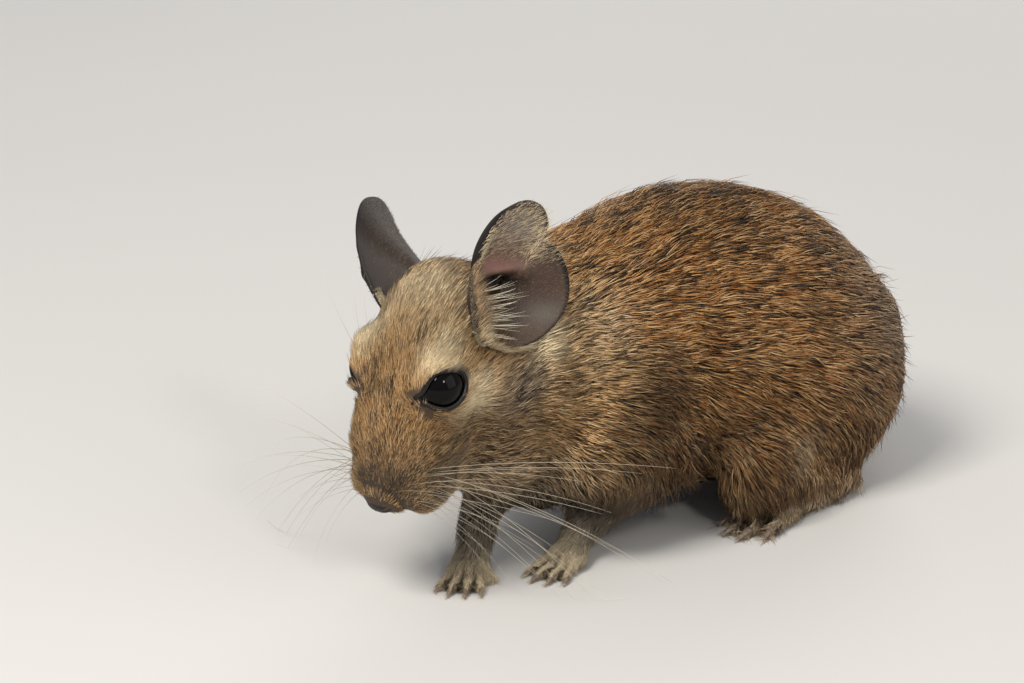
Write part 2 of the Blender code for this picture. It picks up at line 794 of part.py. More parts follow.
def tail_route():
    """The tail's middle line and radius, at even fine steps, in millimetres."""
    rows = eased(np.column_stack([TAIL_ROUTE, TAIL_RADII]), 240)
    steps = np.linalg.norm(np.diff(rows[:, :3], axis=0), axis=1)
    along = np.concatenate([[0], np.cumsum(steps)])
    even = np.linspace(0, along[-1], 401)
    return np.column_stack([np.interp(even, along, rows[:, k]) for k in range(4)]), along[-1]


def tail_rows(start, end):
    """Rings for the stretch of tail between two shares of its length, with a close pair at each end."""
    route, length = tail_route()
    steps = max(6, round((end - start) * length / TAIL_RING_STEP))
    at = np.linspace(start, end, steps)
    close = TAIL_END_PAIR / length
    at = np.concatenate([at[:1], [start + close], at[1:-1], [end - close], at[-1:]]) * (len(route) - 1)
    return np.column_stack([np.interp(at, np.arange(len(route)), route[:, k]) for k in range(4)])


def brush_lock(name, root, ahead, outward, length, width, into):
    """A flat tapered lock of tail hair, which leaves the tail outward and bends back along it."""
    side = np.cross(ahead, outward)
    share = np.array((0.0, 0.3, 0.65, 0.9, 1.0)) * length
    lift = np.array((-0.6, 0.9, 1.6, 1.7, 1.6))
    half = np.array((0.8, 1.0, 0.7, 0.34, 0.06)) * width / 2
    deep = np.array((0.55, 0.5, 0.4, 0.26, 0.06))
    middle = root + ahead * share[:, None] + outward * lift[:, None]
    rings = np.stack(
        [
            middle + side * half[:, None],
            middle + outward * deep[:, None],
            middle - side * half[:, None],
            middle - outward * deep[:, None],
        ],
        axis=1,
    )
    return loft(name, rings * MM, into)


def brush_locks(rows, into):
    """Locks set round the tail in a spiral, longer towards its tip, none reaching under the floor."""
    draw = np.random.default_rng(7)
    ahead_all = np.gradient(rows[:, :3], axis=0)
    ahead_all /= np.linalg.norm(ahead_all, axis=1)[:, None]
    locks = []
    for number in range(BRUSH_LOCKS):
        share = (number + 0.5) / BRUSH_LOCKS
        at = (0.06 + 0.86 * share) * (len(rows) - 1)
        i = min(int(at), len(rows) - 2)
        row = rows[i] + (rows[i + 1] - rows[i]) * (at - i)
        ahead = ahead_all[i]
        side = np.cross(ahead, (0.0, 0.0, 1.0))
        side /= np.linalg.norm(side)
        angle = GOLDEN_ANGLE * number + draw.uniform(-0.25, 0.25)
        outward = side * math.cos(angle) + np.cross(side, ahead) * math.sin(angle)
        length = np.interp(share, (0, 1), BRUSH_LOCK_LENGTHS) + draw.uniform(-1, 1)
        width = draw.uniform(*BRUSH_LOCK_WIDTHS)
        locks.append(brush_lock(f"lock_{number}", row[:3] + outward * row[3] * 0.7, ahead, outward, length, width, into))
    return locks


def tail(flesh_grown, parts, cutters):
    """Base, middle and brush, each its own node, lying on the floor."""
    _, length = tail_route()
    half_gap = GAP / length / 2
    base = tail_rows(0.0, TAIL_BASE_END - half_gap)
    middle = tail_rows(TAIL_BASE_END + half_gap, TAIL_MIDDLE_END - half_gap)
    end = tail_rows(TAIL_MIDDLE_END + half_gap, 1.0)
    base_node = tube("tail_base", base[:, :3], base[:, 3], parts, 12)
    cut(base_node, flesh_grown)
    middle_node = tube("tail_middle", middle[:, :3], middle[:, 3], parts, 12)
    brush_node = tube("tail_brush", end[:, :3], end[:, 3], parts, 10)
    fuse(brush_node, brush_locks(end, cutters))
    for node in (base_node, middle_node, brush_node):
        trim_at_floor(node, cutters)
    return base_node, middle_node, brush_node


# The whole animal


def new_material(name, colour, roughness):
    made = bpy.data.materials.new(name)
    made.use_nodes = True
    shader = made.node_tree.nodes["Principled BSDF"]
    shader.inputs["Base Color"].default_value = (*colour, 1.0)
    shader.inputs["Roughness"].default_value = roughness
    shader.inputs["Metallic"].default_value = 0.0
    return made


def paint(parts):
    """A material for each node, told by the words in its name."""
    looks = {
        "eye": ("black_eye", (0.008, 0.007, 0.007), 0.08),
        "ear": ("grey_ear_skin", (0.20, 0.15, 0.14), 0.6),
        "foot": ("pale_grey_foot", (0.42, 0.38, 0.35), 0.7),
        "brush": ("black_tail_brush", (0.03, 0.025, 0.02), 0.8),
    }
    coat = new_material("brown_agouti_fur", (0.36, 0.23, 0.13), 0.85)
    made = {word: new_material(*look) for word, look in looks.items()}
    for obj in parts.objects:
        words = [word for word in looks if word in obj.name]
        obj.data.materials.clear()
        obj.data.materials.append(made[words[0]] if words else coat)


def smooth_shading(parts):
    for obj in parts.objects:
        obj.data.shade_smooth()
        obj.data.set_sharp_from_angle(angle=math.radians(50))


def centre_on_floor(parts):
    """Moves the animal so that the origin is under the middle of its bounding box."""
    corners = np.array([tuple(v.co) for obj in parts.objects for v in obj.data.vertices])
    middle = (corners.min(axis=0) + corners.max(axis=0)) / 2
    for obj in parts.objects:
        obj.data.transform(Matrix.Translation((-middle[0], -middle[1], 0)))


def build():
    clear_scene()
    parts = new_collection("degu")
    cutters = new_collection("cutters")
    flesh = whole_flesh(cutters)
    flesh_grown = grown_copy(flesh, GAP, cutters)

    for side, sign in (("left", 1), ("right", -1)):
        ear(side, sign, flesh_grown, parts, cutters)
    tail(flesh_grown, parts, cutters)
    for name, side in (("eye_left", 1), ("eye_right", -1)):
        eyeball(name, side, parts)

    head_egg = grown_egg((0, 14.5, 4.0), (34, 33, 22), cutters, HEAD)
    head = part_off(flesh, "head", head_egg, parts, cutters)
    finish_face(head, cutters)

    for side, sign in (("left", 1), ("right", -1)):
        paw_box = grown_block((-9, -20, -5), (9, 3.6, 9), foot_space(FORE_SOLE[side]), cutters)
        paw = part_off(flesh, "forefoot_" + side, paw_box, parts, cutters)
        finish_foot(paw, FORE_SOLE[side], FORE_TOES, FORE_THUMB, FORE_TOE_RADIUS, FORE_CLAW, sign, cutters)
        sole_box = grown_block((-9, -32, -5), (9, 24, 6.8), foot_space(HIND_SOLE[side]), cutters)
        foot = part_off(flesh, "hind_foot_" + side, sole_box, parts, cutters)
        finish_foot(foot, HIND_SOLE[side], HIND_TOES, HIND_THUMB, HIND_TOE_RADIUS, HIND_CLAW, sign, cutters)
        arm = grown_egg((ELBOW[side][0] * 1.05, ELBOW[side][1] - 6, 17.0), (11.5, 21.0, 17.0), cutters)
        part_off(flesh, "foreleg_" + side, arm, parts, cutters)
        thigh = grown_egg((27.0 * sign, 25.0, 16.0), (15.0, 29.0, 27.0), cutters)
        part_off(flesh, "hind_leg_" + side, thigh, parts, cutters)

    neck_box = grown_block((-60, -110, -5), (60, -33, 120), WORLD, cutters)
    part_off(flesh, "neck", neck_box, parts, cutters)
    torso = new_object("torso", flesh.data.copy(), parts)
    keep_largest(torso)

    centre_on_floor(parts)
    paint(parts)
    smooth_shading(parts)


build()
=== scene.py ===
"""A degu crouching with its nose lowered, life size, dressed over its solid model.

Places are millimetres in the head's frame or the trunk's, and become metres when a mesh is made.
+Z is up, the animal faces -Y and +X is its left side.
"""

import math

import bpy
import numpy as np
from mathutils import Matrix, Vector
from mathutils.bvhtree import BVHTree


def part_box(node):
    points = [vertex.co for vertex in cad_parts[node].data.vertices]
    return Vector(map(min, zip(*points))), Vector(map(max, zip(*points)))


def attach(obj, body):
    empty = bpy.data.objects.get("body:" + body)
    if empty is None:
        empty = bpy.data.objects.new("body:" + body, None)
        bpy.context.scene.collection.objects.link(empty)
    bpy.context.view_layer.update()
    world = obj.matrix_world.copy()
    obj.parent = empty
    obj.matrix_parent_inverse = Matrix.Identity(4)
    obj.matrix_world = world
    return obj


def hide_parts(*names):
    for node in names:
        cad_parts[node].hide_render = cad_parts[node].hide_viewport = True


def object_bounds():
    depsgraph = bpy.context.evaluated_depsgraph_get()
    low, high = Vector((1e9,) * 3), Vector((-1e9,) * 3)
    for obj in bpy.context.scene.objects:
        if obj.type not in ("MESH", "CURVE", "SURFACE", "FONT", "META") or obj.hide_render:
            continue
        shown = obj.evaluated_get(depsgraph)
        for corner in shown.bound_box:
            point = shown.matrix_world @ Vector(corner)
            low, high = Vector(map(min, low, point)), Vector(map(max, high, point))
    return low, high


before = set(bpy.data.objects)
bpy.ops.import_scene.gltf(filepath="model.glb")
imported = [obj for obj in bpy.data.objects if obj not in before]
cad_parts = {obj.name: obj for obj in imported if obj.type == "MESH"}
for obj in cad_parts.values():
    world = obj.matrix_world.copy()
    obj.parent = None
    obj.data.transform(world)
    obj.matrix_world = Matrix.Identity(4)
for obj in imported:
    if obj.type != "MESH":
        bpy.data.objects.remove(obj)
CAD_LOW, CAD_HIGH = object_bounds()

MM = 0.001
SIDES = {1: "left", -1: "right"}
LIMB_PARTS = ("foreleg", "forefoot", "hind_leg", "hind_foot")
LIMBS = [f"{part}_{side}" for part in LIMB_PARTS for side in SIDES.values()]
FLESH = ["head", "neck", "torso", *LIMBS, "tail_base", "tail_middle"]

# The head's frame has x to its left, y back from the nose tip and z towards the crown. The trunk's
# has the scene's axes and its origin on the floor under the trunk
HEAD_YAW = 12.5
HEAD_PITCH = 53.5
NOSE_IN_TRUNK = np.array((6.5, -75.0, 22.0))

# Eyes and lids. 1 is the left eye, which faces the viewer, and -1 the right, on the face's outline
EYE_RADIUS = 4.8
EYE_RINGS = 40
EYE_SIDES = 48
EYE_CENTRE = (7.6, 21.8, 7.7)
EYE_LOOK = {1: (0.84, -0.22, 0.48), -1: (-0.94, 0.04, 0.34)}
EYE_TILT = -38  # degrees that the lids lean down to the nose
EYE_REGION = 9.0  # how far from an eye's middle its lids reach
LID_HALF_LENGTH = 4.45
LID_HALF_HEIGHT = 3.45
LID_BAND = 0.48  # half the width of the dark skin round the opening
LID_THICKNESS = 0.32
LID_CORNER = {1: 1.5, -1: 0.2}  # how far the lids' edge is drawn out at the inner corner
BEHIND_LIDS = 9.0  # stands for far outside the lids
BEHIND_EYE = 4.1  # where the skin inside the opening lies, from the eye's middle

NOSE_PAD_CENTRE = (0.0, -1.2, 0.6)
NOSE_PAD_RADII = (3.15, 1.95, 2.2)
NOSE_RINGS = 90
NOSE_SIDES = 120

# Ears. Facing and leans, outward and back, are in degrees
EAR_BASE = {"left": (13.2, 36.0, 6.4), "right": (12.6, 36.3, 5.4)}
EAR_FACING = {"left": 62, "right": 90}
EAR_LEANS = {"left": (5, 5), "right": (37, 40)}
EAR_MIRROR = {"left": (1, 1, 1), "right": (-1, 1, 1)}
EAR_DEPTH = 7.2
EAR_FLOOR_SHARE = 0.04
EAR_FLOOR = {"left": -8.0, "right": -5.0}  # the skin inside an ear is bare from here out
TUFTED_RIM = {"left": (340, 398), "right": (290, 356)}  # in 360ths of the way through the rim's rows
FRINGED_EDGE = (-1.5, 1.5, 7.0)  # up the front edge: the first, the longest and the last hairs
FRINGE_HAIRS = 44
TUFT_HAIRS = 2600
DOWN_HAIRS = 6400
TUFT_SHARE = {"left": 1.0, "right": 0.6}
DOWN_BEHIND = {"left": 0.35, "right": 0.75}  # share of the down that grows on the ear's back

# Round the rim: across from the front edge to the rear edge, up, and out of the cup
EAR_RIM = (
    (-4.0, 0.0, 1.4),
    (-5.4, 4.8, 1.8),
    (-6.4, 10.8, 1.5),
    (-5.6, 16.0, 0.9),
    (-2.9, 20.6, 0.5),
    (0.9, 23.2, 0.2),
    (4.2, 23.9, 0.0),
    (7.0, 22.6, 0.2),
    (8.3, 19.6, 0.6),
    (8.1, 16.4, 0.8),
    (11.6, 13.8, -0.2),
    (14.2, 9.8, -0.8),
    (15.3, 5.4, -1.0),
    (14.6, 1.4, -0.9),
    (12.0, -2.0, -0.6),
    (8.4, -4.2, -0.2),
    (4.0, -4.9, 0.2),
    (0.6, -4.6, 0.5),
    (-2.4, -3.2, 0.9),
)

# The ear's colours, with painted shade among the dark spots. Each spot: strength, its middle across
# and up, and its reach across and up
EAR_TONES = {
    "pink": ((0.8, -0.5, 10.6, 4.2, 1.9), (0.35, 1.0, 16.0, 5.0, 4.0), (0.2, 11.0, 8.0, 3.0, 4.0)),
    "dark": (
        # Painted shade: the first two dark spots lie in the canal and down at the cup's floor
        (1.0, 2.4, 7.3, 3.6, 1.5),
        (0.9, 0.5, 2.5, 4.6, 4.2),
        (0.45, 11.5, 9.0, 3.5, 5.0),
        (0.2, 9.0, 3.0, 5.0, 5.0),
    ),
    "grey": ((0.6, 3.5, 19.0, 5.0, 4.0), (0.55, 10.5, 1.5, 4.5, 2.6)),
}

# Each foot: its palm or sole on the floor, and the degrees its toes turn to the left
FORE_SOLE = {"left": (14.5, -36.0, 19), "right": (6.0, -54.0, 38)}
HIND_SOLE = {"left": (22.0, 20.0, 8), "right": (-22.0, 18.0, -8)}
TOE_HEIGHT = 4.5  # toes are lower than this
FORE_TOES = (  # each toe from its knuckle to its tip, in the foot's frame
    (-2.9, -3.2, -4.3, -8.0),
    (-1.1, -4.2, -1.7, -10.0),
    (1.0, -4.2, 1.3, -9.8),
    (2.8, -3.4, 3.9, -8.2),
)
HIND_TOES = (
    (-3.4, -10.5, -5.4, -17.4),
    (-1.2, -12.0, -1.8, -21.0),
    (1.1, -12.0, 1.5, -20.6),
    (3.3, -10.8, 4.8, -17.6),
)

# The tail's middle line in the trunk's frame
TAIL_ROUTE = (
    (1.0, 42.0, 19.0),
    (-2.0, 50.0, 15.5),
    (-8.0, 56.5, 11.0),
    (-16.5, 60.5, 7.4),
    (-26.0, 60.0, 5.0),
    (-35.0, 55.0, 3.9),
    (-42.0, 47.0, 3.4),
    (-47.0, 37.5, 3.1),
    (-50.0, 27.0, 2.9),
    (-52.0, 16.0, 2.8),
    (-53.0, 5.0, 2.7),
    (-53.0, -6.0, 2.7),
    (-52.3, -17.0, 2.7),
)
BRUSH_START = 0.66  # share of the tail's length
BRUSH_HAIRS = 5200
CORE_RADIUS = 2.3
CORE_TAPER = 0.25

# The lie of the coat. Each row: place, the way its hairs point, their length, and the row's reach.
# A place off the head's middle line, or more than 5 off the trunk's, stands for both sides. The
# forelegs have a table each.
LIE_ON_HEAD = {
    "nose_top": ((0, 3, 5), (0, 0.6, 1.0), 1.5, 3),
    "nose_side": ((5.5, 1.5, 1), (0.6, 1, 0.3), 1.5, 3),
    "upper_lip": ((4, 0.5, -3.5), (0.5, 0.8, -0.8), 1.5, 3),
    "lower_lip": ((0, 5, -8), (0, 1, -0.6), 1.6, 4),
    "whisker_pad": ((9.5, 5.5, 0), (0.5, 1, -0.2), 2.2, 4),
    "muzzle_top": ((0, 11, 9.5), (0, 1, 0.35), 2.5, 5),
    "muzzle_side": ((8.5, 13, 3), (0.35, 1, -0.15), 2.8, 5),
    "mouth_corner": ((9, 10, -8), (0.3, 0.8, -0.6), 3.8, 5),
    "brow_front": ((6, 18, 12), (0.1, 1, 0.4), 2.8, 4),
    "brow_top": ((9, 27, 13), (0.3, 1, 0.1), 3.6, 5),
    "under_eye": ((11.5, 18.5, 3), (0.3, 0.9, -0.4), 2.6, 4),
    "behind_eye": ((14, 27, 4), (0.3, 0.9, -0.4), 3.4, 5),
    "forehead": ((0, 24, 15), (0, 1, 0.1), 3.6, 6),
    "crown": ((0, 40, 12.5), (0, 1, -0.25), 5.0, 7),
    "temple": ((14, 31, 6), (0.25, 1, 0.1), 3.6, 5),
    "ear_front": ((12.5, 33.5, 10), (0.5, 0.7, 0.55), 5.2, 3.5),
    "ear_under": ((17, 31, -3), (0.4, 0.9, 0.3), 5.0, 3.5),
    "cheek": ((14, 22, -8), (0.2, 0.85, -0.6), 4.6, 7),
    "cheek_back": ((15, 34, -8), (0.1, 0.75, -0.75), 5.6, 7),
    "jaw": ((7, 18, -15), (0.15, 1.0, -0.4), 5.2, 7),
    "chin": ((0, 12, -14), (0, 1, -0.3), 4.2, 6),
}
LIE_ON_TRUNK = {
    "nape": ((4, -44, 55), (0, 1, 0.25), 7.0, 10),
    "withers": ((0, -25, 62), (0, 1, 0.1), 8.0, 14),
    "back": ((0, 5, 65), (0, 1, -0.02), 9.0, 18),
    "rump_top": ((0, 35, 55), (0, 1, -0.35), 9.5, 14),
    "rump_end": ((0, 56, 30), (0, 0.5, -1), 9.0, 12),
    "side_neck": ((18, -42, 38), (0.1, 1, -0.12), 7.0, 9),
    "shoulder": ((25, -26, 36), (0.1, 0.85, -0.45), 7.5, 10),
    "flank": ((27, 0, 40), (0.05, 1, -0.25), 9.0, 14),
    "haunch": ((29, 28, 36), (0.05, 1, -0.35), 9.0, 14),
    "haunch_low": ((29, 25, 14), (0, 0.2, -1), 7.5, 10),
    "knee": ((27, 2, 14), (0, 0.3, -1), 6.5, 9),
    "flank_low": ((26, -4, 20), (0, 0.8, -0.6), 7.5, 9),
    "belly": ((0, 0, 3), (0, 1, 0), 6.0, 16),
    "throat": ((4, -52, 26), (0, -0.1, -1), 7.5, 8),
    "chest": ((4, -50, 12), (0, 0.1, -1), 7.0, 9),
}
LIE_ON_LEFT_LEG = {
    "elbow": ((25, -18, 20), (0, 0.1, -1), 5.5, 8),
    "forearm": ((19, -27, 14), (-0.25, -0.6, -0.8), 3.6, 6),
    "wrist": ((15.5, -32, 7), (-0.2, -0.8, -0.7), 2.6, 4),
    "palm": ((14.5, -38, 3.5), (0.3, -1, -0.3), 1.1, 5),
    "toes": ((17.5, -44, 1.5), (0.33, -1, -0.3), 0.8, 5),
}
LIE_ON_RIGHT_LEG = {
    "elbow": ((-20, -28, 18), (0, 0.1, -1), 5.5, 8),
    "forearm": ((-5, -41, 13), (0.6, -0.6, -0.7), 3.6, 6),
    "wrist": ((2, -48.5, 8), (0.5, -0.8, -0.6), 2.6, 4),
    "palm": ((7, -55.5, 3.5), (0.6, -0.8, -0.3), 1.1, 5),
    "toes": ((11.5, -61, 1.5), (0.62, -0.8, -0.3), 0.8, 5),
}
LIE_ON_HIND_FEET = {
    "heel": ((22, 34, 4), (0, -1, -0.2), 2.6, 6),
    "sole": ((22, 12, 4), (0, -1, -0.2), 1.6, 6),
    "toes": ((23, 2, 2), (0.1, -1, -0.3), 1.0, 6),
}

# Markings, with painted light and painted shade among them. Each row: kind, frame, place, reach
# along each axis, and strength. A place off the middle line stands for both sides
MARK_KINDS = ("pale", "grey", "dark")
MARKINGS_AND_PAINTED_LIGHT = (
    ("pale", "head", (9.6, 27.0, 12.8), (3.8, 4.2, 3.6), 1.0),
    ("pale", "head", (8.0, 23.4, 13.6), (2.4, 2.8, 2.0), 0.8),
    ("pale", "head", (11.8, 20.0, 2.6), (3.0, 4.4, 2.6), 1.0),
    ("pale", "head", (13.2, 24.2, 4.0), (2.0, 2.6, 2.0), 0.85),
    ("pale", "head", (13.0, 36.4, 9.6), (2.8, 3.2, 3.0), 0.6),
    ("pale", "head", (8.5, 38.5, 12.6), (2.6, 3.6, 3.0), 0.8),
    ("pale", "head", (17.0, 35.4, -4.0), (4.6, 3.8, 2.8), 1.0),
    # Partly painted light: the crown made paler where the light falls on it
    ("pale", "head", (0.0, 37.0, 13.0), (10.0, 8.0, 5.0), 0.7),
    ("pale", "head", (0.0, 5.0, -9.0), (7.0, 7.0, 4.0), 0.4),
    ("pale", "trunk", (0.0, 0.0, 0.0), (30.0, 55.0, 8.0), 0.5),
    ("pale", "trunk", (27.0, 13.0, 17.0), (4.0, 5.0, 4.0), 0.5),
    # Partly painted light: the side of the neck made paler where the light falls on it
    ("pale", "trunk", (17.0, -35.0, 48.0), (8.0, 8.0, 9.0), 0.3),
    ("pale", "trunk", (12.0, -48.0, 2.0), (16.0, 20.0, 3.5), 0.55),
    ("pale", "trunk", (22.0, 16.0, 1.0), (9.0, 20.0, 3.5), 0.3),
    ("grey", "head", (15.5, 27.0, -4.0), (6.0, 8.0, 6.0), 0.6),
    ("grey", "head", (10.0, 7.0, -3.0), (5.0, 6.0, 5.0), 0.5),
    ("grey", "trunk", (5.0, -50.0, 10.0), (20.0, 16.0, 16.0), 0.75),
    ("grey", "trunk", (0.0, 0.0, 0.0), (34.0, 60.0, 9.0), 0.8),
    ("grey", "trunk", (22.0, 42.0, 44.0), (14.0, 20.0, 22.0), 0.5),
    ("grey", "trunk", (18.0, -30.0, 8.0), (9.0, 14.0, 10.0), 0.9),
    ("dark", "head", (5.2, 14.6, 10.0), (1.1, 3.0, 1.4), 0.6),
    ("dark", "head", (3.5, 1.6, 3.2), (3.4, 2.6, 3.2), 0.8),
    ("dark", "head", (8.5, 10.0, 0.0), (4.0, 7.0, 7.0), 0.45),
    ("dark", "head", (0.0, 4.0, 5.0), (7.0, 5.0, 5.0), 0.3),
    ("dark", "head", (0.0, 18.0, 15.0), (3.5, 9.0, 3.0), 0.2),
    ("dark", "trunk", (0.0, 12.0, 70.0), (18.0, 48.0, 12.0), 0.6),
    # Darker over the shoulder, behind the cheek
    ("dark", "trunk", (24.0, -26.0, 33.0), (7.0, 10.0, 10.0), 0.7),
    # Painted shade under the trunk: this row and the next three darken the low haunch, the low flank
    # and the forelegs
    ("dark", "trunk", (24.0, 26.0, 16.0), (14.0, 26.0, 12.0), 0.35),
    ("dark", "trunk", (24.0, -10.0, 17.0), (12.0, 16.0, 11.0), 0.7),
    ("dark", "trunk", (20.0, -30.0, 15.0), (9.0, 12.0, 7.0), 0.6),
    ("dark", "trunk", (12.0, -44.0, 12.0), (14.0, 14.0, 7.0), 0.6),
)

# Whiskers. The brow's are given one by one, in the head's frame
WHISKER_SWEEP = {"left": 0.42, "right": -0.05}  # how far back they stand
WHISKER_ROWS = 5
WHISKER_RADIUS = 0.066
BROW_STARTS = ((11.0, 20.0, 26.0), (11.0, 22.0, 26.0), (11.0, 24.0, 25.5))
BROW_TARGETS = ((8.0, 24.0, 10.0), (8.0, 26.0, 10.0), (8.0, 28.0, 9.5))
BROW_LENGTHS = (20.0, 17.0, 13.0)
BROW_WAYS = np.array(((0.45, -0.2, 0.9), (0.35, 0.1, 0.95), (0.5, 0.3, 0.85)))
BROW_BENDS = ((-0.05, 0.15, -0.15),) * 3

# Skin. It lies under the solids' surface by a share of the hairs' length
SKIN_VOXEL = 0.55
CLOSING = 0.25  # swells the solids so that the thin cuts between them close
COAT_SHARE = 0.27
RUMP_DEPTH = 1.6  # deeper at the end of the rump
GROOVE_DEPTH = 0.9  # deeper between the toes
LIP = (6.5, 7.0, -9.0)
LIP_REACH = 5.0
LIP_FULLNESS = 1.9  # less deep at the lips
LOWEST = 0.02  # no skin or hair lies nearer to the floor

# Coat
PIECE_TRIANGLES = 185000
SHORT_DRAWS = 2200000
LONG_DRAWS = 900000
BLENDED_LENGTHS = (4.4, 6.6)  # from the first to the second, long hair takes over from short
# Limits of hair length, and how far apart the roots are below, between and above them
SHORT_SPACING = ((1.4, 2.3, 3.4, 4.6), (0.25, 0.27, 0.29, 0.33, 0.4))
LONG_SPACING = ((5.5, 7.0), (0.85, 1.0, 0.94))
SHORT_SINK = 0.2  # how deep the roots lie
LONG_SINK = 0.35
LOCK_HAIRS = 3
GUARD_SHARE = 0.04  # of the long hairs stand out of the coat
TAIL_HAIR = 2.8  # length
GRID_STEP = 1.0  # of the grid that tells where the skin is
GRID_MARGIN = 6
GRID_SPREAD = 4
CELL_KEY = (4000003, 2003, 1)  # makes one number of a cell's three
PATCH = 0.003  # a hair's width on the bake map
SINES = 14  # in one sum of waves
SINE_SCALE = 3.5

# Streaks of the coat's tone: share, shape and size on the head, the same on the trunk, and seed
STREAKS = (
    (0.19, (0.6, 4.0, 0.6), 1.3, (0.9, 7.0, 0.9), 1.4, 21),
    (0.1, (1.5, 5.0, 1.5), 2.0, (2.0, 7.0, 2.0), 2.0, 24),
)
COAT = {
    "root": "#40342A",
    "tan": "#C8A16B",
    "rust": "#9A6129",
    "tip": "#1E150D",
    "cream": "#FBE9C2",
    "grey": "#A39D90",
    "dark": "#1B130B",
}

# Camera and lights. A light's way is right, up and back as the camera sees it
CAMERA_AZIMUTH = math.radians(50)
CAMERA_HEIGHT = math.radians(20)
CAMERA_DISTANCE = 0.8
CAMERA_LENS = 150.0
SENSOR_WIDTH = 36.0
PICTURE = (1024, 683)
NOSE_IN_PICTURE = (385.0, 497.0)
FLOOR_HALF = 4000.0
LIGHTS = (  # name, way, distance and size in metres, watts
    ("key", (-0.45, 0.75, 0.95), 0.9, 0.35, 7.8),
    ("catch", (0.34, 0.32, 0.88), 0.8, 0.1, 0.9),
    ("fill", (0.95, 0.3, 0.6), 1.2, 1.0, 3.4),
    ("rim", (0.3, 0.9, -0.9), 1.1, 0.6, 3.5),
)


# Frames and small sums


def turn(axis, degrees):
    return np.array(Matrix.Rotation(math.radians(degrees), 3, axis))


def unit(vectors):
    return vectors / np.maximum(np.linalg.norm(vectors, axis=-1, keepdims=True), 1e-9)


EYE_LOW, EYE_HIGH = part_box("eye_left")
HEAD_TURN = turn("Z", HEAD_YAW) @ turn("X", HEAD_PITCH)
NOSE = (np.array(EYE_LOW) + np.array(EYE_HIGH)) / 2 / MM - HEAD_TURN @ np.array(EYE_CENTRE)
TRUNK = NOSE - NOSE_IN_TRUNK


def from_head(points):
    return np.asarray(points, float) @ HEAD_TURN.T + NOSE


def to_head(points):
    return (points - NOSE) @ HEAD_TURN


def from_foot(sole, points):
    """Points of a foot's frame, where -y is ahead and the floor is 0."""
    x, y, angle = sole
    return np.asarray(points, float) @ turn("Z", angle).T + np.array((x, y, 0.0)) + TRUNK


def eased(rows, count):
    """Reads a table at even steps along a Catmull-Rom curve through its rows."""
    rows = np.array(rows, float)
    padded = np.vstack([2 * rows[0] - rows[1], rows, 2 * rows[-1] - rows[-2]])
    at = np.linspace(0, len(rows) - 1, count)
    i = np.minimum(at.astype(int), len(rows) - 2)
    t = (at - i)[:, None]
    a, b, c, d = (padded[i + k] for k in range(4))
    bend = (2 * a - 5 * b + 4 * c - d) * t**2 + (3 * b - a - 3 * c + d) * t**3
    return 0.5 * (2 * b + (c - a) * t + bend)


def waves(points, size, seed):
    """Smooth unevenness round 0: a sum of sines whose crests lie about one size apart."""
    draw = np.random.default_rng(seed)
    ways = unit(draw.normal(size=(SINES, 3))) * (2 * math.pi / size)
    ways /= draw.uniform(0.7, 1.6, SINES)[:, None]
    return np.sin(points @ ways.T + draw.uniform(0, 2 * math.pi, SINES)).sum(axis=1) / SINE_SCALE


def smooth_step(low, high, values):
    share = np.clip((values - low) / (high - low), 0, 1)
    return share * share * (3 - 2 * share)


def circle(count):
    """Angles at even steps round a circle."""
    return np.linspace(0, 2 * math.pi, count, endpoint=False)


def hill(distance, reach):
    """A smooth hump, 1 at its middle: exp(-(distance / reach)^2)."""
    return np.exp(-((distance / reach) ** 2))


def bell(across, up, middle_across, middle_up, reach_across, reach_up):
    """A smooth spot: exp(-a^2 - u^2), with a and u in reaches from its middle."""
    a = (across - middle_across) / reach_across
    u = (up - middle_up) / reach_up
    return np.exp(-(a**2) - u**2)


def laid_flat(ways, outward):
    """Ways turned into the surface that faces outward."""
    return unit(ways - outward * (ways * outward).sum(axis=1)[:, None])


def swung(first, second, angle):
    """Ways swung from the first ones towards the second ones, each by its angle."""
    return first * np.cos(angle)[:, None] + second * np.sin(angle)[:, None]


def keep_above(height, points):
    """Lifts the points that lie lower than a height over the floor up to it."""
    points[..., 2] = np.maximum(points[..., 2], height)


# Meshes from arrays


def placed(name, data):
    """A new object of the scene."""
    thing = bpy.data.objects.new(name, data)
    bpy.context.scene.collection.objects.link(thing)
    return thing


def mesh_from_arrays(name, points, corners):
    """A smooth mesh from points in millimetres and faces that all have as many corners."""
    mesh = bpy.data.meshes.new(name)
    mesh.vertices.add(len(points))
    mesh.vertices.foreach_set("co", (np.asarray(points) * MM).astype(np.float32).ravel())
    mesh.loops.add(corners.size)
    mesh.loops.foreach_set("vertex_index", corners.astype(np.int32).ravel())
    mesh.polygons.add(len(corners))
    starts = np.arange(0, corners.size, corners.shape[1], dtype=np.int32)
    mesh.polygons.foreach_set("loop_start", starts)
    mesh.polygons.foreach_set("use_smooth", np.ones(len(corners), bool))
    mesh.update(calc_edges=True)
    return mesh


def vertex_normals(points, corners):
    """Outward ways at the points, from the area-weighted faces round each."""
    a, b, c = (points[corners[:, k]] for k in range(3))
    face = np.cross(b - a, c - a)
    normals = np.zeros_like(points)
    for k in range(3):
        np.add.at(normals, corners[:, k], face)
    return unit(normals)


def mesh_arrays(mesh, welded=False):
    """Points in millimetres, outward ways and triangles; welded makes points at one place one."""
    mesh.calc_loop_triangles()
    points = np.zeros(len(mesh.vertices) * 3, np.float32)
    mesh.vertices.foreach_get("co", points)
    points = points.reshape(-1, 3).astype(float) / MM
    corners = np.zeros(len(mesh.loop_triangles) * 3, np.int32)
    mesh.loop_triangles.foreach_get("vertices", corners)
    corners = corners.reshape(-1, 3)
    if welded:
        rounded = np.round(points, 4)
        _, first, same = np.unique(rounded, axis=0, return_index=True, return_inverse=True)
        points = points[first]
        corners = same.ravel()[corners]
    return points, vertex_normals(points, corners), corners


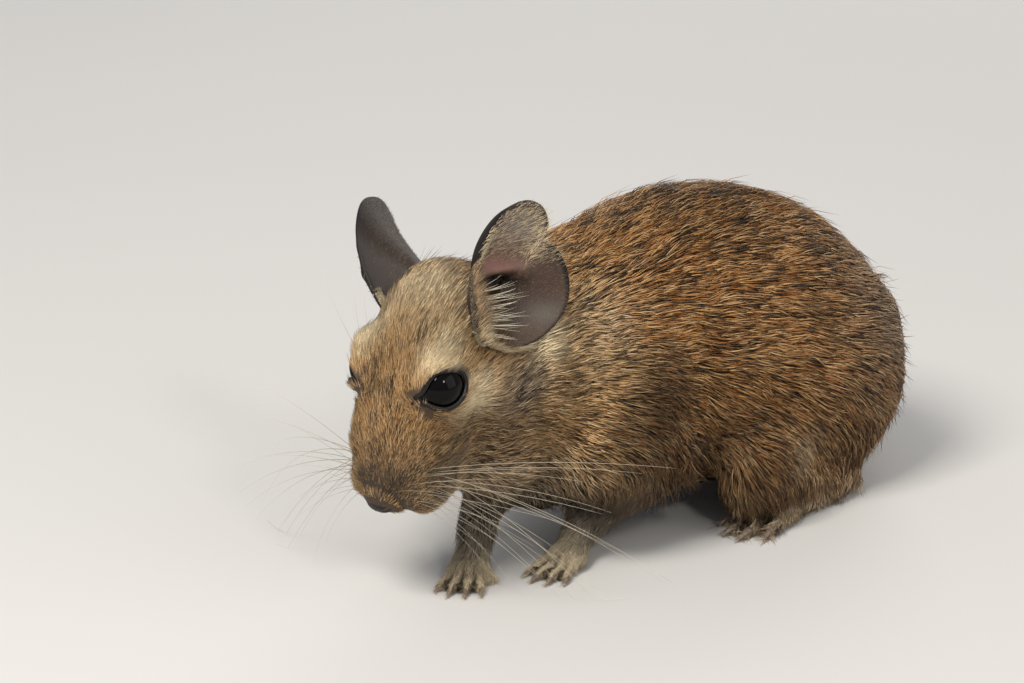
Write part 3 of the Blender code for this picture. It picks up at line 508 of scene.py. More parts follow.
def closed_mesh(name, points, corners):
    """A closed mesh whose faces are turned outward, told by the sign of its volume."""
    mesh = mesh_from_arrays(name, points, corners)
    points, _, corners = mesh_arrays(mesh)
    a, b, c = (points[corners[:, k]] for k in range(3))
    if (a * np.cross(b, c)).sum() < 0:
        mesh.flip_normals()
    return mesh


def show(name, mesh, material, replaced=()):
    """Puts a finished mesh in the scene as a piece of the animal."""
    piece = placed(name, mesh)
    mesh.materials.append(material)
    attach(piece, "root")
    if replaced:
        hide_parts(*replaced)


def set_attribute(mesh, name, values):
    """Stores three numbers at each vertex for the material to read."""
    rows = np.ones((len(values), 4), np.float32)
    rows[:, :3] = values
    mesh.attributes.new(name, "FLOAT_COLOR", "POINT").data.foreach_set("color", rows.ravel())


def unwrapped(roots, facing):
    """A place on a flat layout of the animal: six charts, one for each way that a root faces."""
    axis = np.abs(facing).argmax(axis=1)
    chart = axis * 2 + (np.take_along_axis(facing, axis[:, None], 1)[:, 0] > 0)
    low = np.array(CAD_LOW) / MM - 3
    size = (np.array(CAD_HIGH) - np.array(CAD_LOW)).max() / MM + 6
    share = (roots - low) / size
    first = np.where(axis == 0, share[:, 1], share[:, 0])
    second = np.where(axis == 2, share[:, 1], share[:, 2])
    u = (chart % 3 + np.clip(first, 0, 1) * 0.96 + 0.02) / 3
    v = (chart // 3 + np.clip(second, 0, 1) * 0.96 + 0.02) / 2
    return np.stack([u, v], axis=1)


def tag_hairs(mesh, roots, facing, across, along, chance_and_tone=0.0):
    """Gives hairs their strand attribute and their OFBake map.

    Across and along say how far over the hair and on to its tip each of its points lies. In the map
    each hair is a small patch at its root's place on the flat layout.
    """
    strand = np.empty((len(roots), len(along), 3))
    strand[:, :, 0] = along
    strand[:, :, 1:] = chance_and_tone
    set_attribute(mesh, "strand", strand.reshape(-1, 3))
    spots = np.stack([across, along], axis=1)
    uv = (unwrapped(roots, facing)[:, None] + (spots - 0.5) * PATCH).reshape(-1, 2)
    used = np.empty(len(mesh.loops), np.int32)
    mesh.loops.foreach_get("vertex_index", used)
    mesh.uv_layers.new(name="OFBake").data.foreach_set("uv", uv[used].astype(np.float32).ravel())


def ring_corners(count, sides):
    """Triangles of a closed stack of rings, where the last two points are the poles of its ends."""
    index = np.arange(count * sides).reshape(count, sides)
    beside = np.roll(index, -1, axis=1)
    corners = (
        (index[:-1], beside[:-1], beside[1:]),
        (index[:-1], beside[1:], index[1:]),
        (beside[0], index[0], np.full(sides, count * sides)),
        (index[-1], beside[-1], np.full(sides, count * sides + 1)),
    )
    return np.vstack([np.stack(three, axis=-1).reshape(-1, 3) for three in corners])


def ring_points(rings):
    return np.vstack([rings.reshape(-1, 3), rings[0].mean(axis=0), rings[-1].mean(axis=0)])


def show_tubes(name, paths, radii, sides, material, replaced=(), hairs=False):
    """Shows thin tubes side by side as one piece.

    Each runs along its own path (tubes, points, 3) with a radius at every point. A ring is a circle
    in the plane across the path, turned from the path's way and a fixed sideways vector.
    """
    number, count, _ = paths.shape
    ahead = unit(np.gradient(paths, axis=1))
    aside = unit(np.cross(ahead, np.array((0.31, 0.17, 0.94))))
    up = np.cross(aside, ahead)
    around = circle(sides)
    spoke = aside[:, :, None] * np.sin(around)[:, None] + up[:, :, None] * np.cos(around)[:, None]
    rings = paths[:, :, None] + spoke * radii[:, :, None, None]
    ends = np.stack([paths[:, 0], paths[:, -1]], axis=1)
    points = np.concatenate([rings.reshape(number, -1, 3), ends], axis=1)
    corners = ring_corners(count, sides) + (np.arange(number) * points.shape[1])[:, None, None]
    mesh = closed_mesh(name, points.reshape(-1, 3), corners.reshape(-1, 3))
    if hairs:
        across = np.append(np.tile(np.linspace(0, 1, sides), count), (0.5, 0.5))
        along = np.append(np.repeat(np.linspace(0, 1, count), sides), (0.0, 1.0))
        tag_hairs(mesh, paths[:, 0], unit(paths[:, 1] - paths[:, 0]), across, along)
    show(name, mesh, material, replaced)


# Materials


def linear(hex_colour):
    """An sRGB hex colour as linear light with full cover."""
    channels = [int(hex_colour[i : i + 2], 16) / 255 for i in (1, 3, 5)]
    return (*[c / 12.92 if c <= 0.04045 else ((c + 0.055) / 1.055) ** 2.4 for c in channels], 1.0)


def add(tree, kind, inputs=None, **settings):
    """Adds a node with its settings; each input is a value or the socket that feeds it."""
    node = tree.nodes.new(kind)
    for name, value in settings.items():
        setattr(node, name, value)
    for key, value in (inputs or {}).items():
        if isinstance(value, bpy.types.NodeSocket):
            tree.links.new(value, node.inputs[key])
        else:
            node.inputs[key].default_value = value
    return node


def blended(tree, share, first, second):
    """A colour between two, each of which is a hex colour or a socket."""
    first, second = (linear(part) if isinstance(part, str) else part for part in (first, second))
    return add(tree, "ShaderNodeMix", {0: share, 6: first, 7: second}, data_type="RGBA").outputs[2]


def ranged(tree, value, low, high, bottom=0.0, top=1.0):
    """A value's share of the way from low to high, eased, and stretched from bottom to top."""
    inputs = {"Value": value, 1: low, 2: high, 3: bottom, 4: top}
    return add(tree, "ShaderNodeMapRange", inputs, interpolation_type="SMOOTHSTEP").outputs[0]


def reckoned(tree, operation, *values):
    return add(tree, "ShaderNodeMath", dict(enumerate(values)), operation=operation).outputs[0]


def attribute(tree, name):
    """The three numbers stored at each vertex under a name."""
    colour = add(tree, "ShaderNodeAttribute", attribute_name=name).outputs["Color"]
    return add(tree, "ShaderNodeSeparateColor", {0: colour}).outputs


def textured(tree, kind, scale, **inputs):
    """A texture of the object's own space."""
    place = add(tree, "ShaderNodeTexCoord").outputs["Object"]
    return add(tree, kind, {"Vector": place, "Scale": scale, **inputs}).outputs[0]


def bumped(tree, height, strength, distance):
    inputs = {"Height": height, "Strength": strength, "Distance": distance}
    return add(tree, "ShaderNodeBump", inputs).outputs[0]


def new_material(name):
    material = bpy.data.materials.new(name)
    material.use_nodes = True
    material.node_tree.nodes.clear()
    return material, material.node_tree


def finish_material(tree, colour, bump=None, **settings):
    """A Principled surface with constants set on its own sockets."""
    inputs = {key.replace("_", " "): value for key, value in settings.items()}
    inputs["Base Color"] = colour
    if bump:
        inputs["Normal"] = bump
    shader = add(tree, "ShaderNodeBsdfPrincipled", inputs)
    add(tree, "ShaderNodeOutputMaterial", {"Surface": shader.outputs[0]})


def coat_material():
    """Agouti guard hair: keratin with a grey root, a tan band and a near-black tip.

    The strand attribute holds the share along the hair, a chance for each hair and its tone.
    The markings_and_painted_light attribute holds how pale, grey and dark the coat is there,
    from markings and from painted light and shade.
    """
    material, tree = new_material("agouti_guard_hair")
    along, chance, tone = attribute(tree, "strand")
    pale, grey, dark = attribute(tree, "markings_and_painted_light")
    band = blended(tree, ranged(tree, chance, 0.2, 1.0), COAT["tan"], COAT["rust"])
    band = blended(tree, grey, band, COAT["grey"])
    band = blended(tree, pale, band, COAT["cream"])
    root = blended(tree, pale, COAT["root"], COAT["cream"])
    hair = blended(tree, ranged(tree, along, 0.0, 0.45), root, band)
    kept_light = reckoned(tree, "MULTIPLY_ADD", pale, -0.95, 1.0)
    late = reckoned(tree, "MULTIPLY_ADD", tone, -0.34, 0.98)
    early = reckoned(tree, "SUBTRACT", late, 0.25)
    depth = ranged(tree, tone, 0.2, 0.85, 0.1, 0.9)
    tip = reckoned(tree, "MULTIPLY", ranged(tree, along, early, late), depth)
    shade = ranged(tree, tone, 0.45, 0.95, 0.0, 0.85)
    for darkening in (tip, shade):
        darkening = reckoned(tree, "MULTIPLY", darkening, kept_light)
        hair = blended(tree, darkening, hair, COAT["tip"])
    # Dark markings, and painted shade low on the body and between the toes
    hair = blended(tree, dark, hair, COAT["dark"])
    finish_material(tree, hair, Roughness=0.5, IOR=1.55, Specular_IOR_Level=0.3)
    return material


def skin_material():
    """Skin under the coat: soft hide, coloured as the roots of the hairs over it and kept dark as
    painted shade in the gaps between the hairs.
    """
    material, tree = new_material("hide_under_the_coat")
    pale, grey, dark = attribute(tree, "markings_and_painted_light")
    speckle = textured(tree, "ShaderNodeTexNoise", 900.0, Detail=3.0)
    # Dark root colours, which also paint the shade in the gaps between hairs
    colour = blended(tree, speckle, "#2A2017", "#5B452D")
    colour = blended(tree, grey, colour, "#5F594D")
    colour = blended(tree, pale, colour, "#CDB995")
    # Dark markings, and painted shade low on the body and between the toes
    colour = blended(tree, dark, colour, "#1A140F")
    finish_material(tree, colour, bumped(tree, speckle, 0.4, 0.0002), Roughness=0.7)
    return material


def grained_material(name, colours, scale, detail, bump=None, **settings):
    """A surface whose two colours are mixed by a fine grain, which can also raise it."""
    material, tree = new_material(name)
    grain = textured(tree, "ShaderNodeTexNoise", scale, Detail=detail)
    raised = bumped(tree, grain, *bump) if bump else None
    finish_material(tree, blended(tree, grain, *colours), raised, **settings)
    return material


def nose_material():
    """Bare nose leather: dark brown, finely pebbled and slightly moist, with painted shade making
    the nostrils black.
    """
    material, tree = new_material("nose_leather")
    nostril_shade = attribute(tree, "nostril_shade")[0]
    pebble = textured(tree, "ShaderNodeTexVoronoi", 3400.0)
    colour = blended(tree, pebble, "#1C1511", "#0A0706")
    # Painted shade: black in the pressed-in nostrils
    colour = blended(tree, ranged(tree, nostril_shade, 0.15, 0.7), colour, "#050303")
    bump = bumped(tree, pebble, 0.7, 0.00012)
    finish_material(tree, colour, bump, Roughness=0.4, Specular_IOR_Level=0.35)
    return material


def ear_material():
    """Thin ear skin: pinkish grey where light comes through it, dark at the rim, and with painted
    shade darkening the canal and the cup's floor.

    The flesh attribute holds how pink, dark and grey it is there.
    """
    material, tree = new_material("thin_ear_skin")
    pink, dark, grey = attribute(tree, "flesh")
    mottle = textured(tree, "ShaderNodeTexNoise", 420.0, Detail=5.0)
    grain = textured(tree, "ShaderNodeTexNoise", 3200.0, Detail=2.0)
    colour = blended(tree, mottle, "#46362D", "#614E42")
    colour = blended(tree, pink, colour, "#9A6F66")
    colour = blended(tree, grey, colour, "#7C7A74")
    colour = blended(tree, dark, colour, "#130D0A")
    finish_material(
        tree,
        colour,
        bumped(tree, grain, 0.35, 0.00015),
        Roughness=0.6,
        Specular_IOR_Level=0.3,
        Subsurface_Weight=0.25,
        Subsurface_Radius=(0.0012, 0.0005, 0.0003),
    )
    return material


def hair_material(name, root, tip):
    """Single hairs of one keratin colour that changes from root to tip."""
    material, tree = new_material(name)
    along = attribute(tree, "strand")[0]
    finish_material(tree, blended(tree, along, root, tip), Roughness=0.4, IOR=1.55)
    return material


# Skin


def flesh_mesh():
    """The flesh nodes as one closed surface.

    Each node is welded and swollen a little so that the thin cuts between nodes close, and all are
    fused on a fine grid.
    """
    points = []
    corners = []
    start = 0
    for node in FLESH:
        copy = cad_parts[node].data.copy()
        places, normals, faces = mesh_arrays(copy, welded=True)
        points.append(places + normals * CLOSING)
        corners.append(faces + start)
        start += len(places)
        bpy.data.meshes.remove(copy)
    whole = placed("flesh", mesh_from_arrays("flesh", np.vstack(points), np.vstack(corners)))
    remesh = whole.modifiers.new("fuse", "REMESH")
    remesh.mode = "VOXEL"
    remesh.voxel_size = SKIN_VOXEL * MM
    smooth = whole.modifiers.new("smooth", "SMOOTH")
    smooth.factor = 0.5
    smooth.iterations = 3
    thin = whole.modifiers.new("thin", "DECIMATE")
    thin.ratio = 0.5
    thin.use_collapse_triangulate = True
    graph = bpy.context.evaluated_depsgraph_get()
    mesh = bpy.data.meshes.new_from_object(whole.evaluated_get(graph))
    bpy.data.objects.remove(whole)
    return mesh


def eye_frame(sign):
    """An eye's middle and its three ways: along the lids towards the ear, over them, and out."""
    look = unit(np.array(EYE_LOOK[sign]))
    back = np.array((0.0, 1.0, 0.0))
    along = Vector(unit(back - look * (back @ look)))
    along.rotate(Matrix.Rotation(math.radians(EYE_TILT) * sign, 3, Vector(look)))
    along = np.array(along)
    ways = np.stack([along, np.cross(look, along) * sign, look])
    return from_head(np.array(EYE_CENTRE) * (sign, 1, 1)), ways @ HEAD_TURN.T


EYES = {sign: eye_frame(sign) for sign in SIDES}


def from_eyes(points):
    """For each eye: its middle, the points in its frame, and their distance from its middle."""
    for middle, ways in EYES.values():
        local = (points - middle) @ ways.T
        yield middle, local, np.linalg.norm(local, axis=1)


def lid_pinch(inward):
    """The share left of the opening's height at a share of the way in to its inner corner."""
    return 1 - 0.42 * np.clip(inward, 0, 1) ** 2


def lid_spread(local):
    """How far out of the lids' opening a place is, 1 on its edge.

    It is the distance over the opening's reach there.
    """
    along = local[:, 0] / LID_HALF_LENGTH
    return np.hypot(along, local[:, 1] / (LID_HALF_HEIGHT * lid_pinch(-along)))


def eye_distance(points):
    """Distance to the nearer eye's middle, and how far out of its lids a point lies."""
    nearest = np.full(len(points), np.inf)
    opening = np.full(len(points), np.inf)
    for _, local, distance in from_eyes(points):
        spread = np.where(local[:, 2] > 0, lid_spread(local), BEHIND_LIDS)
        opening = np.where(distance < nearest, spread, opening)
        nearest = np.minimum(nearest, distance)
    return nearest, opening


def inner_corner(points):
    """1 by the inner corner and the inner half of the lower lid, falling to 0 round the rest."""
    share = np.zeros(len(points))
    for _, local, distance in from_eyes(points):
        angle = np.arctan2(local[:, 1], local[:, 0])
        turned = np.abs((angle + 2.5 + math.pi) % (2 * math.pi) - math.pi)
        share = np.maximum(share, smooth_step(1.2, 0.7, turned) * (distance < EYE_REGION))
    return share


def opened_lids(points):
    """Draws the skin inside the lids' outline back behind the eye, so that the eye shows."""
    opened = points
    for middle, local, distance in from_eyes(points):
        near = (local[:, 2] > 0) & (distance < EYE_REGION)
        share = smooth_step(1.3, 1.04, lid_spread(local)) * near
        opened = opened - (points - middle) * (share * (1 - BEHIND_EYE / distance))[:, None]
    return opened


def toe_grooves(points):
    """How far between the toes a point lies: 0 along a toe's middle, 1 midway to the next."""
    groove = np.zeros(len(points))
    for soles, toes in ((FORE_SOLE, FORE_TOES), (HIND_SOLE, HIND_TOES)):
        table = np.array(toes, float)
        way = table[:, 2:] - table[:, :2]
        for x, y, angle in soles.values():
            local = (points - TRUNK - (x, y, 0.0)) @ turn("Z", angle)
            flat = local[:, None, :2]
            along = ((flat - table[:, :2]) * way).sum(axis=2) / (way**2).sum(axis=1)
            along = np.clip(along, 0, 1.3)[..., None]
            gap = np.linalg.norm(flat - table[:, :2] - along * way, axis=2).min(axis=1)
            ahead = smooth_step(table[:, 1].max() - 0.2, table[:, 1].mean() - 1.4, local[:, 1])
            near = (np.hypot(local[:, 0], local[:, 1]) < 26) & (np.abs(local[:, 0]) < 5.6)
            near &= points[:, 2] < TOE_HEIGHT
            groove = np.maximum(groove, smooth_step(0.45, 0.95, gap) * ahead * near)
    return groove


def lie_rows():
    """The lie's rows in the scene's frame: places, ways, lengths and reaches.

    A place further than a limit off the middle line stands for both sides. For a foreleg's rows
    there is no such limit.
    """
    rows = []
    for tables, off_middle, origin, turned in (
        ((LIE_ON_HEAD,), 0, NOSE, HEAD_TURN),
        ((LIE_ON_TRUNK, LIE_ON_HIND_FEET), 5, TRUNK, np.eye(3)),
        ((LIE_ON_LEFT_LEG, LIE_ON_RIGHT_LEG), math.inf, TRUNK, np.eye(3)),
    ):
        for place, way, length, reach in [row for table in tables for row in table.values()]:
            for sign in SIDES if abs(place[0]) > off_middle else (1,):
                mirror = np.array((sign, 1.0, 1.0))
                there = (place * mirror) @ turned.T + origin
                rows.append((there, turned @ (way * mirror), length, reach))
    places, ways, lengths, reaches = (np.array(column, float) for column in zip(*rows))
    return places, unit(ways), lengths, reaches


def lie_of_coat(points):
    """The way hairs point, their length, and how far a place is on the tail, at points of the skin.

    Way and length are means of the table's rows, each weighted by exp(-d^2 / 2 r^2) for its
    distance d and reach r. Along the tail they follow its line.
    """
    places, ways, lengths, reaches = lie_rows()
    gap = np.linalg.norm(points[:, None] - places, axis=2)
    weight = np.exp(-0.5 * (gap / reaches) ** 2) + 1e-5 / (1 + gap**2)
    weight /= weight.sum(axis=1, keepdims=True)
    way = weight @ ways
    length = weight @ lengths
    line = eased(TAIL_ROUTE, 90) + TRUNK
    ahead = unit(np.gradient(line, axis=0))
    gap = np.linalg.norm(points[:, None] - line[None], axis=2)
    near = gap.argmin(axis=1)
    on_tail = smooth_step(8.0, 5.5, gap.min(axis=1)) * smooth_step(12, 22, near)
    way = way * (1 - on_tail[:, None]) + ahead[near] * on_tail[:, None]
    length = length * (1 - on_tail) + TAIL_HAIR * on_tail
    return unit(way), length, on_tail


def markings_and_painted_light_at(points, on_tail=0.0):
    """How pale, grey and dark the coat is at points, from markings and from painted light and shade.

    Each is one less the product of (1 - strength exp(-q)) over its rows, where q is the squared
    distance in reaches. The tail is dark as well, and painted shade darkens the gaps between the
    toes.
    """
    places = {"head": to_head(points), "trunk": points - TRUNK}
    kept = np.ones((len(points), 3))
    for kind, where, place, reach, strength in MARKINGS_AND_PAINTED_LIGHT:
        for sign in SIDES if place[0] else (1,):
            gap = (places[where] - np.array(place) * (sign, 1, 1)) / reach
            kept[:, MARK_KINDS.index(kind)] *= 1 - strength * np.exp(-(gap**2).sum(axis=1))
    markings_and_painted_light = 1 - kept
    # A dark tail, and painted shade in the gaps between the toes
    markings_and_painted_light[:, 2] = np.maximum(markings_and_painted_light[:, 2], np.maximum(0.5 * on_tail, 0.9 * toe_grooves(points)))
    return markings_and_painted_light


def make_skin(material):
    """The one skin: the flesh drawn in by the coat's depth, which is nil round the eyes.

    It is drawn in little at the nose and near the floor, a bit more at the rump and between the
    toes, and filled out at the lips.
    """
    mesh = flesh_mesh()
    points, normals, _ = mesh_arrays(mesh)
    _, length, _ = lie_of_coat(points)
    eye_gap, _ = eye_distance(points)
    in_trunk = points - TRUNK
    rump = hill(in_trunk[:, 1] - 56, 16) * smooth_step(12, 30, in_trunk[:, 2])
    coat = COAT_SHARE * length * smooth_step(6.2, 9.5, eye_gap)
    depth = CLOSING + coat + RUMP_DEPTH * rump * (length > 5)
    depth = np.where(eye_gap < EYE_RADIUS + 0.65, 0.0, depth)
    depth *= 0.3 + 0.7 * smooth_step(1.0, 6.0, points[:, 2])
    in_head = to_head(points)
    nose_gap = np.linalg.norm(in_head - NOSE_PAD_CENTRE, axis=1)
    depth = np.where(nose_gap < 4.0, 0.1, depth)
    lip_gap = (in_head * np.where(in_head[:, :1] < 0, (-1, 1, 1), (1, 1, 1)) - LIP) / LIP_REACH
    depth -= LIP_FULLNESS * np.exp(-(lip_gap**2).sum(axis=1))
    depth += GROOVE_DEPTH * toe_grooves(points)
    points = opened_lids(points - normals * depth[:, None])
    keep_above(LOWEST, points)
    mesh.vertices.foreach_set("co", (points * MM).astype(np.float32).ravel())
    mesh.update()
    points, normals, corners = mesh_arrays(mesh)
    eye_gap, opening = eye_distance(points)
    markings_and_painted_light = markings_and_painted_light_at(points)
    lids = smooth_step(1.18, 1.05, opening - 0.16 * inner_corner(points)) * (eye_gap < EYE_REGION)
    markings_and_painted_light[:, 2] = np.maximum(markings_and_painted_light[:, 2], lids)
    set_attribute(mesh, "markings_and_painted_light", markings_and_painted_light)
    mesh.polygons.foreach_set("use_smooth", np.ones(len(mesh.polygons), bool))
    show("skin", mesh, material, FLESH)
    return points, normals, corners, lie_of_coat(points)[1]


# Coat


def skin_grid(points, normals):
    """The skin's mean place and outward way in each cell of a grid, spread to empty ones nearby."""
    low = points.min(axis=0) - GRID_MARGIN
    size = np.ceil((points.max(axis=0) + GRID_MARGIN - low) / GRID_STEP).astype(int)
    cell = np.ravel_multi_index(((points - low) / GRID_STEP).astype(int).T, size)
    columns = [np.bincount(cell, values, size.prod()) for values in np.hstack([points, normals]).T]
    sums = np.stack(columns, axis=-1).reshape(*size, 6)
    count = np.bincount(cell, minlength=size.prod()).reshape(size).astype(float)
    steps = [(step, axis) for axis in range(3) for step in (1, -1)]
    for _ in range(GRID_SPREAD):
        empty = count == 0
        wider = sum(np.roll(count, *step) for step in steps)
        sums[empty] = sum(np.roll(sums, *step) for step in steps)[empty]
        count[empty] = wider[empty]
    mean = sums / np.maximum(count, 1)[..., None]
    mean[..., 3:] = unit(mean[..., 3:])
    return low, mean, count > 0


def held_to_skin(grid, places, least, most):
    """Places moved along the skin's outward way until they stand between least and most above it.

    Those far from it are moved only part of the way.
    """
    low, mean, known = grid
    cell = np.clip(((places - low) / GRID_STEP).astype(int), 0, np.array(known.shape) - 1)
    found = mean[tuple(cell.T)]
    height = ((places - found[:, :3]) * found[:, 3:]).sum(axis=1)
    move = (np.clip(height, least, most) - height) * known[tuple(cell.T)]
    return places + found[:, 3:] * np.clip(move, -2.5, 4.0)[:, None]


def scatter(skin, count, seed):
    """Places drawn evenly by area over the skin: points, outward ways and hair lengths there."""
    points, normals, corners, length = skin
    draw = np.random.default_rng(seed)
    a, b, c = (points[corners[:, k]] for k in range(3))
    area = np.linalg.norm(np.cross(b - a, c - a), axis=1)
    chosen = np.searchsorted(np.cumsum(area) / area.sum(), draw.random(count))
    u, v = draw.random((2, count, 1))
    folded = u + v > 1
    u = np.where(folded, 1 - u, u)
    v = np.where(folded, 1 - v, v)
    at = corners[np.minimum(chosen, len(corners) - 1)]

    def spread(values):
        values = values.reshape(len(values), -1)
        return values[at[:, 0]] * (1 - u - v) + values[at[:, 1]] * u + values[at[:, 2]] * v

    return spread(points), unit(spread(normals)), spread(length)[:, 0]


def thinned(roots, steps):
    """One root for each small cube of a grid whose step is the one asked for at that root."""
    kept = []
    for step in np.unique(steps):
        inside = np.flatnonzero(steps == step)
        key = np.floor(roots[inside] / step).astype(np.int64) @ CELL_KEY
        kept.append(inside[np.unique(key, return_index=True)[1]])
    return np.concatenate(kept)


def bare_places(roots, normals):
    """True where no hair grows.

    That is inside the lids and by their inner corner, on the nose pad, on the soles, and inside the
    ears down to each one's floor.
    """
    eye_gap, opening = eye_distance(roots)
    bare = (eye_gap < 4.88) | ((eye_gap < 8.5) & (opening < 1.04 + 0.4 * inner_corner(roots)))
    nose = (to_head(roots) - NOSE_PAD_CENTRE) / (np.array(NOSE_PAD_RADII) + 0.3)
    bare |= (nose**2).sum(axis=1) < 1
    bare |= (roots[:, 2] < 1.0) & (normals[:, 2] < -0.5)
    for side, floor in EAR_FLOOR.items():
        across, up, out = to_ear(side, roots).T
        bare |= (np.hypot(across - 1, up) < 4.4) & (out > floor) & (out < 1.0)
    return bare


def drawn_roots(skin, seed, draws, are_long, limits, spacings):
    """Roots for the short or the long hair, with their outward ways and hair lengths.

    Where hair lengths lie between the two blended ones, both kinds grow. The spacing goes by the
    hair's length, with a new value above each limit.
    """
    roots, outward, length = scatter(skin, draws, seed)
    chance = np.random.default_rng(seed + 3).random(draws)
    grows = (chance < smooth_step(*BLENDED_LENGTHS, length)) == are_long
    grows &= ~bare_places(roots, outward)
    roots, outward, length = roots[grows], outward[grows], length[grows]
    kept = thinned(roots, np.choose(np.digitize(length, limits), spacings))
    return roots[kept], outward[kept], length[kept]


def blades(rings, tips, outward, widths):
    """Hairs as closed three-sided blades from one or two rings of corners and a tip.

    A ring has two corners below, to either side of the hair, and one above. A straight hair has one
    ring and four triangles; a bent hair has a second at its bend and ten.
    """
    number = len(tips)
    count = len(rings)
    ahead = unit(tips - rings[0])
    across = unit(np.cross(outward, ahead))
    over = np.cross(ahead, across)
    half = widths[:, None] / 2
    points = np.empty((number, count * 3 + 1, 3))
    for ring, place in enumerate(rings):
        points[:, ring * 3] = place + (across - over * 0.4) * half
        points[:, ring * 3 + 1] = place + over * half * 0.7
        points[:, ring * 3 + 2] = place - (across + over * 0.4) * half
    points[:, -1] = tips
    last = count * 3 - 3
    corners = [(last + j, last + (j + 1) % 3, last + 3) for j in range(3)]
    if count == 2:
        corners += [(j, (j + 1) % 3, 3 + (j + 1) % 3) for j in range(3)]
        corners += [(j, 3 + (j + 1) % 3, 3 + j) for j in range(3)]
    corners += [(0, 2, 1)]
    corners = np.array(corners)[None] + (np.arange(number) * (count * 3 + 1))[:, None, None]
    return points, corners.reshape(-1, 3)


def blade_mesh(name, rings, tips, outward, widths, chance_and_tone=0.0):
    """A mesh of blades with their strand attribute and bake map."""
    points, corners = blades(rings, tips, outward, widths)
    keep_above(LOWEST, points)
    mesh = mesh_from_arrays(name, points.reshape(-1, 3), corners)
    across = np.append(np.tile((0, 0.5, 1), len(rings)), 0.5)
    along = np.append(np.repeat(np.arange(len(rings)) / 2, 3), 1.0)
    tag_hairs(mesh, rings[0], outward, across, along, chance_and_tone)
    return mesh


def add_hairs(name, material, rings, tips, outward, widths, strand, markings_and_painted_light):
    """Puts hairs in the scene in pieces from the nose to the tail.

    Strand holds each hair's chance and tone, and markings_and_painted_light how pale, grey and dark
    it is, painted light and shade included.
    """
    triangles = len(tips) * (4 if len(rings) == 1 else 10)
    order = np.argsort(rings[0][:, 1])
    for count, at in enumerate(np.array_split(order, math.ceil(triangles / PIECE_TRIANGLES)), 1):
        piece = f"{name}_{count:02d}"
        cut = [ring[at] for ring in rings]
        mesh = blade_mesh(piece, cut, tips[at], outward[at], widths[at], strand[at][:, None])
        set_attribute(mesh, "markings_and_painted_light", np.repeat(markings_and_painted_light[at], len(rings) * 3 + 1, axis=0))
        show(piece, mesh, material)


def lie_and_tone(roots, outward, draw):
    """At each root: the way its hair points on the skin, the way to its side, its tone and marks.

    Hair near an eye is turned aside from it. The tone is a sum of waves that are long along the
    coat and short across it, so that hairs fall into streaks.
    """
    way, _, on_tail = lie_of_coat(roots)
    for middle, _ in EYES.values():
        towards = middle - roots
        gap = np.linalg.norm(towards, axis=1)
        towards /= gap[:, None]
        heading = np.maximum((way * towards).sum(axis=1), -0.1) + 0.1
        way = way - towards * (heading * 1.25 * smooth_step(9.5, 6.5, gap))[:, None]
    ahead = laid_flat(way, outward)
    swerve = 0.14 * waves(roots, 8.0, 5) + draw.normal(0, 0.08, len(roots))
    ahead = unit(ahead + np.cross(outward, ahead) * swerve[:, None])
    in_head = to_head(roots)
    on_head = (in_head[:, 1] < 44) & (in_head[:, 2] > -24)
    tone = 0.44 + 0.05 * waves(roots, 14.0, 23) + 0.03 * on_head
    tone += 0.17 * smooth_step(40.0, 66.0, roots[:, 2]) * ~on_head
    for share, head_streak, head_size, trunk_streak, trunk_size, seed in STREAKS:
        on_face = waves(in_head / head_streak, head_size, seed)
        on_body = waves(roots / trunk_streak, trunk_size, seed + 1)
        tone += share * np.where(on_head, on_face, on_body)
    return ahead, np.cross(outward, ahead), tone, markings_and_painted_light_at(roots, on_tail)


def hair_colours(roots, tone, markings_and_painted_light, draw):
    """Each hair's chance and tone, and its marks, with some hairs darker and some paler."""
    number = len(roots)
    kind = draw.random(number)
    tone = tone + draw.normal(0, 0.11, number)
    tone += np.where(kind < 0.2, 0.3, 0) - np.where(kind > 0.8, 0.25, 0)
    warm = smooth_step(-42, -22, (roots - TRUNK)[:, 1])
    chance = draw.random(number) * (0.75 + 0.05 * warm) + 0.26 * warm
    shades = markings_and_painted_light * draw.uniform(0.8, 1.12, number)[:, None]
    shades[:, 0] += np.where(kind > 0.86, 0.3 - 0.12 * warm, 0)
    return np.clip(np.stack([chance, tone], axis=1), 0, 1), np.clip(shades, 0, 1)


def short_coat(skin, grid, material):
    """The short hair of the face, legs, feet and tail: straight hairs, set close and lying flat."""
    roots, outward, length = drawn_roots(skin, 3, SHORT_DRAWS, False, *SHORT_SPACING)
    draw = np.random.default_rng(13)
    ahead, aside, tone, markings_and_painted_light = lie_and_tone(roots, outward, draw)
    number = len(roots)
    eye_gap, _ = eye_distance(roots)
    hair = length * draw.uniform(0.7, 1.25, number)
    by_eye = smooth_step(9.0, 6.5, eye_gap)
    lift = np.radians(13 - 4 * by_eye + 3 * waves(roots, 6.0, 33) + draw.normal(0, 4.0, number))
    ahead = unit(ahead + aside * draw.normal(0, 0.12, number)[:, None])
    start = roots - outward * SHORT_SINK
    tip = start + swung(ahead, outward, lift) * hair[:, None]
    held = held_to_skin(grid, tip, 0.2 + 0.05 * hair, 0.4 + 0.2 * hair)
    tip = np.where((length > 1.8)[:, None], held, tip)
    keep_above(0.12, tip)
    width = (0.1 + 0.02 * length) * draw.uniform(0.75, 1.25, number)
    strand, shades = hair_colours(roots, tone, markings_and_painted_light, draw)
    add_hairs("short_coat", material, [start], tip, outward, width, strand, shades)


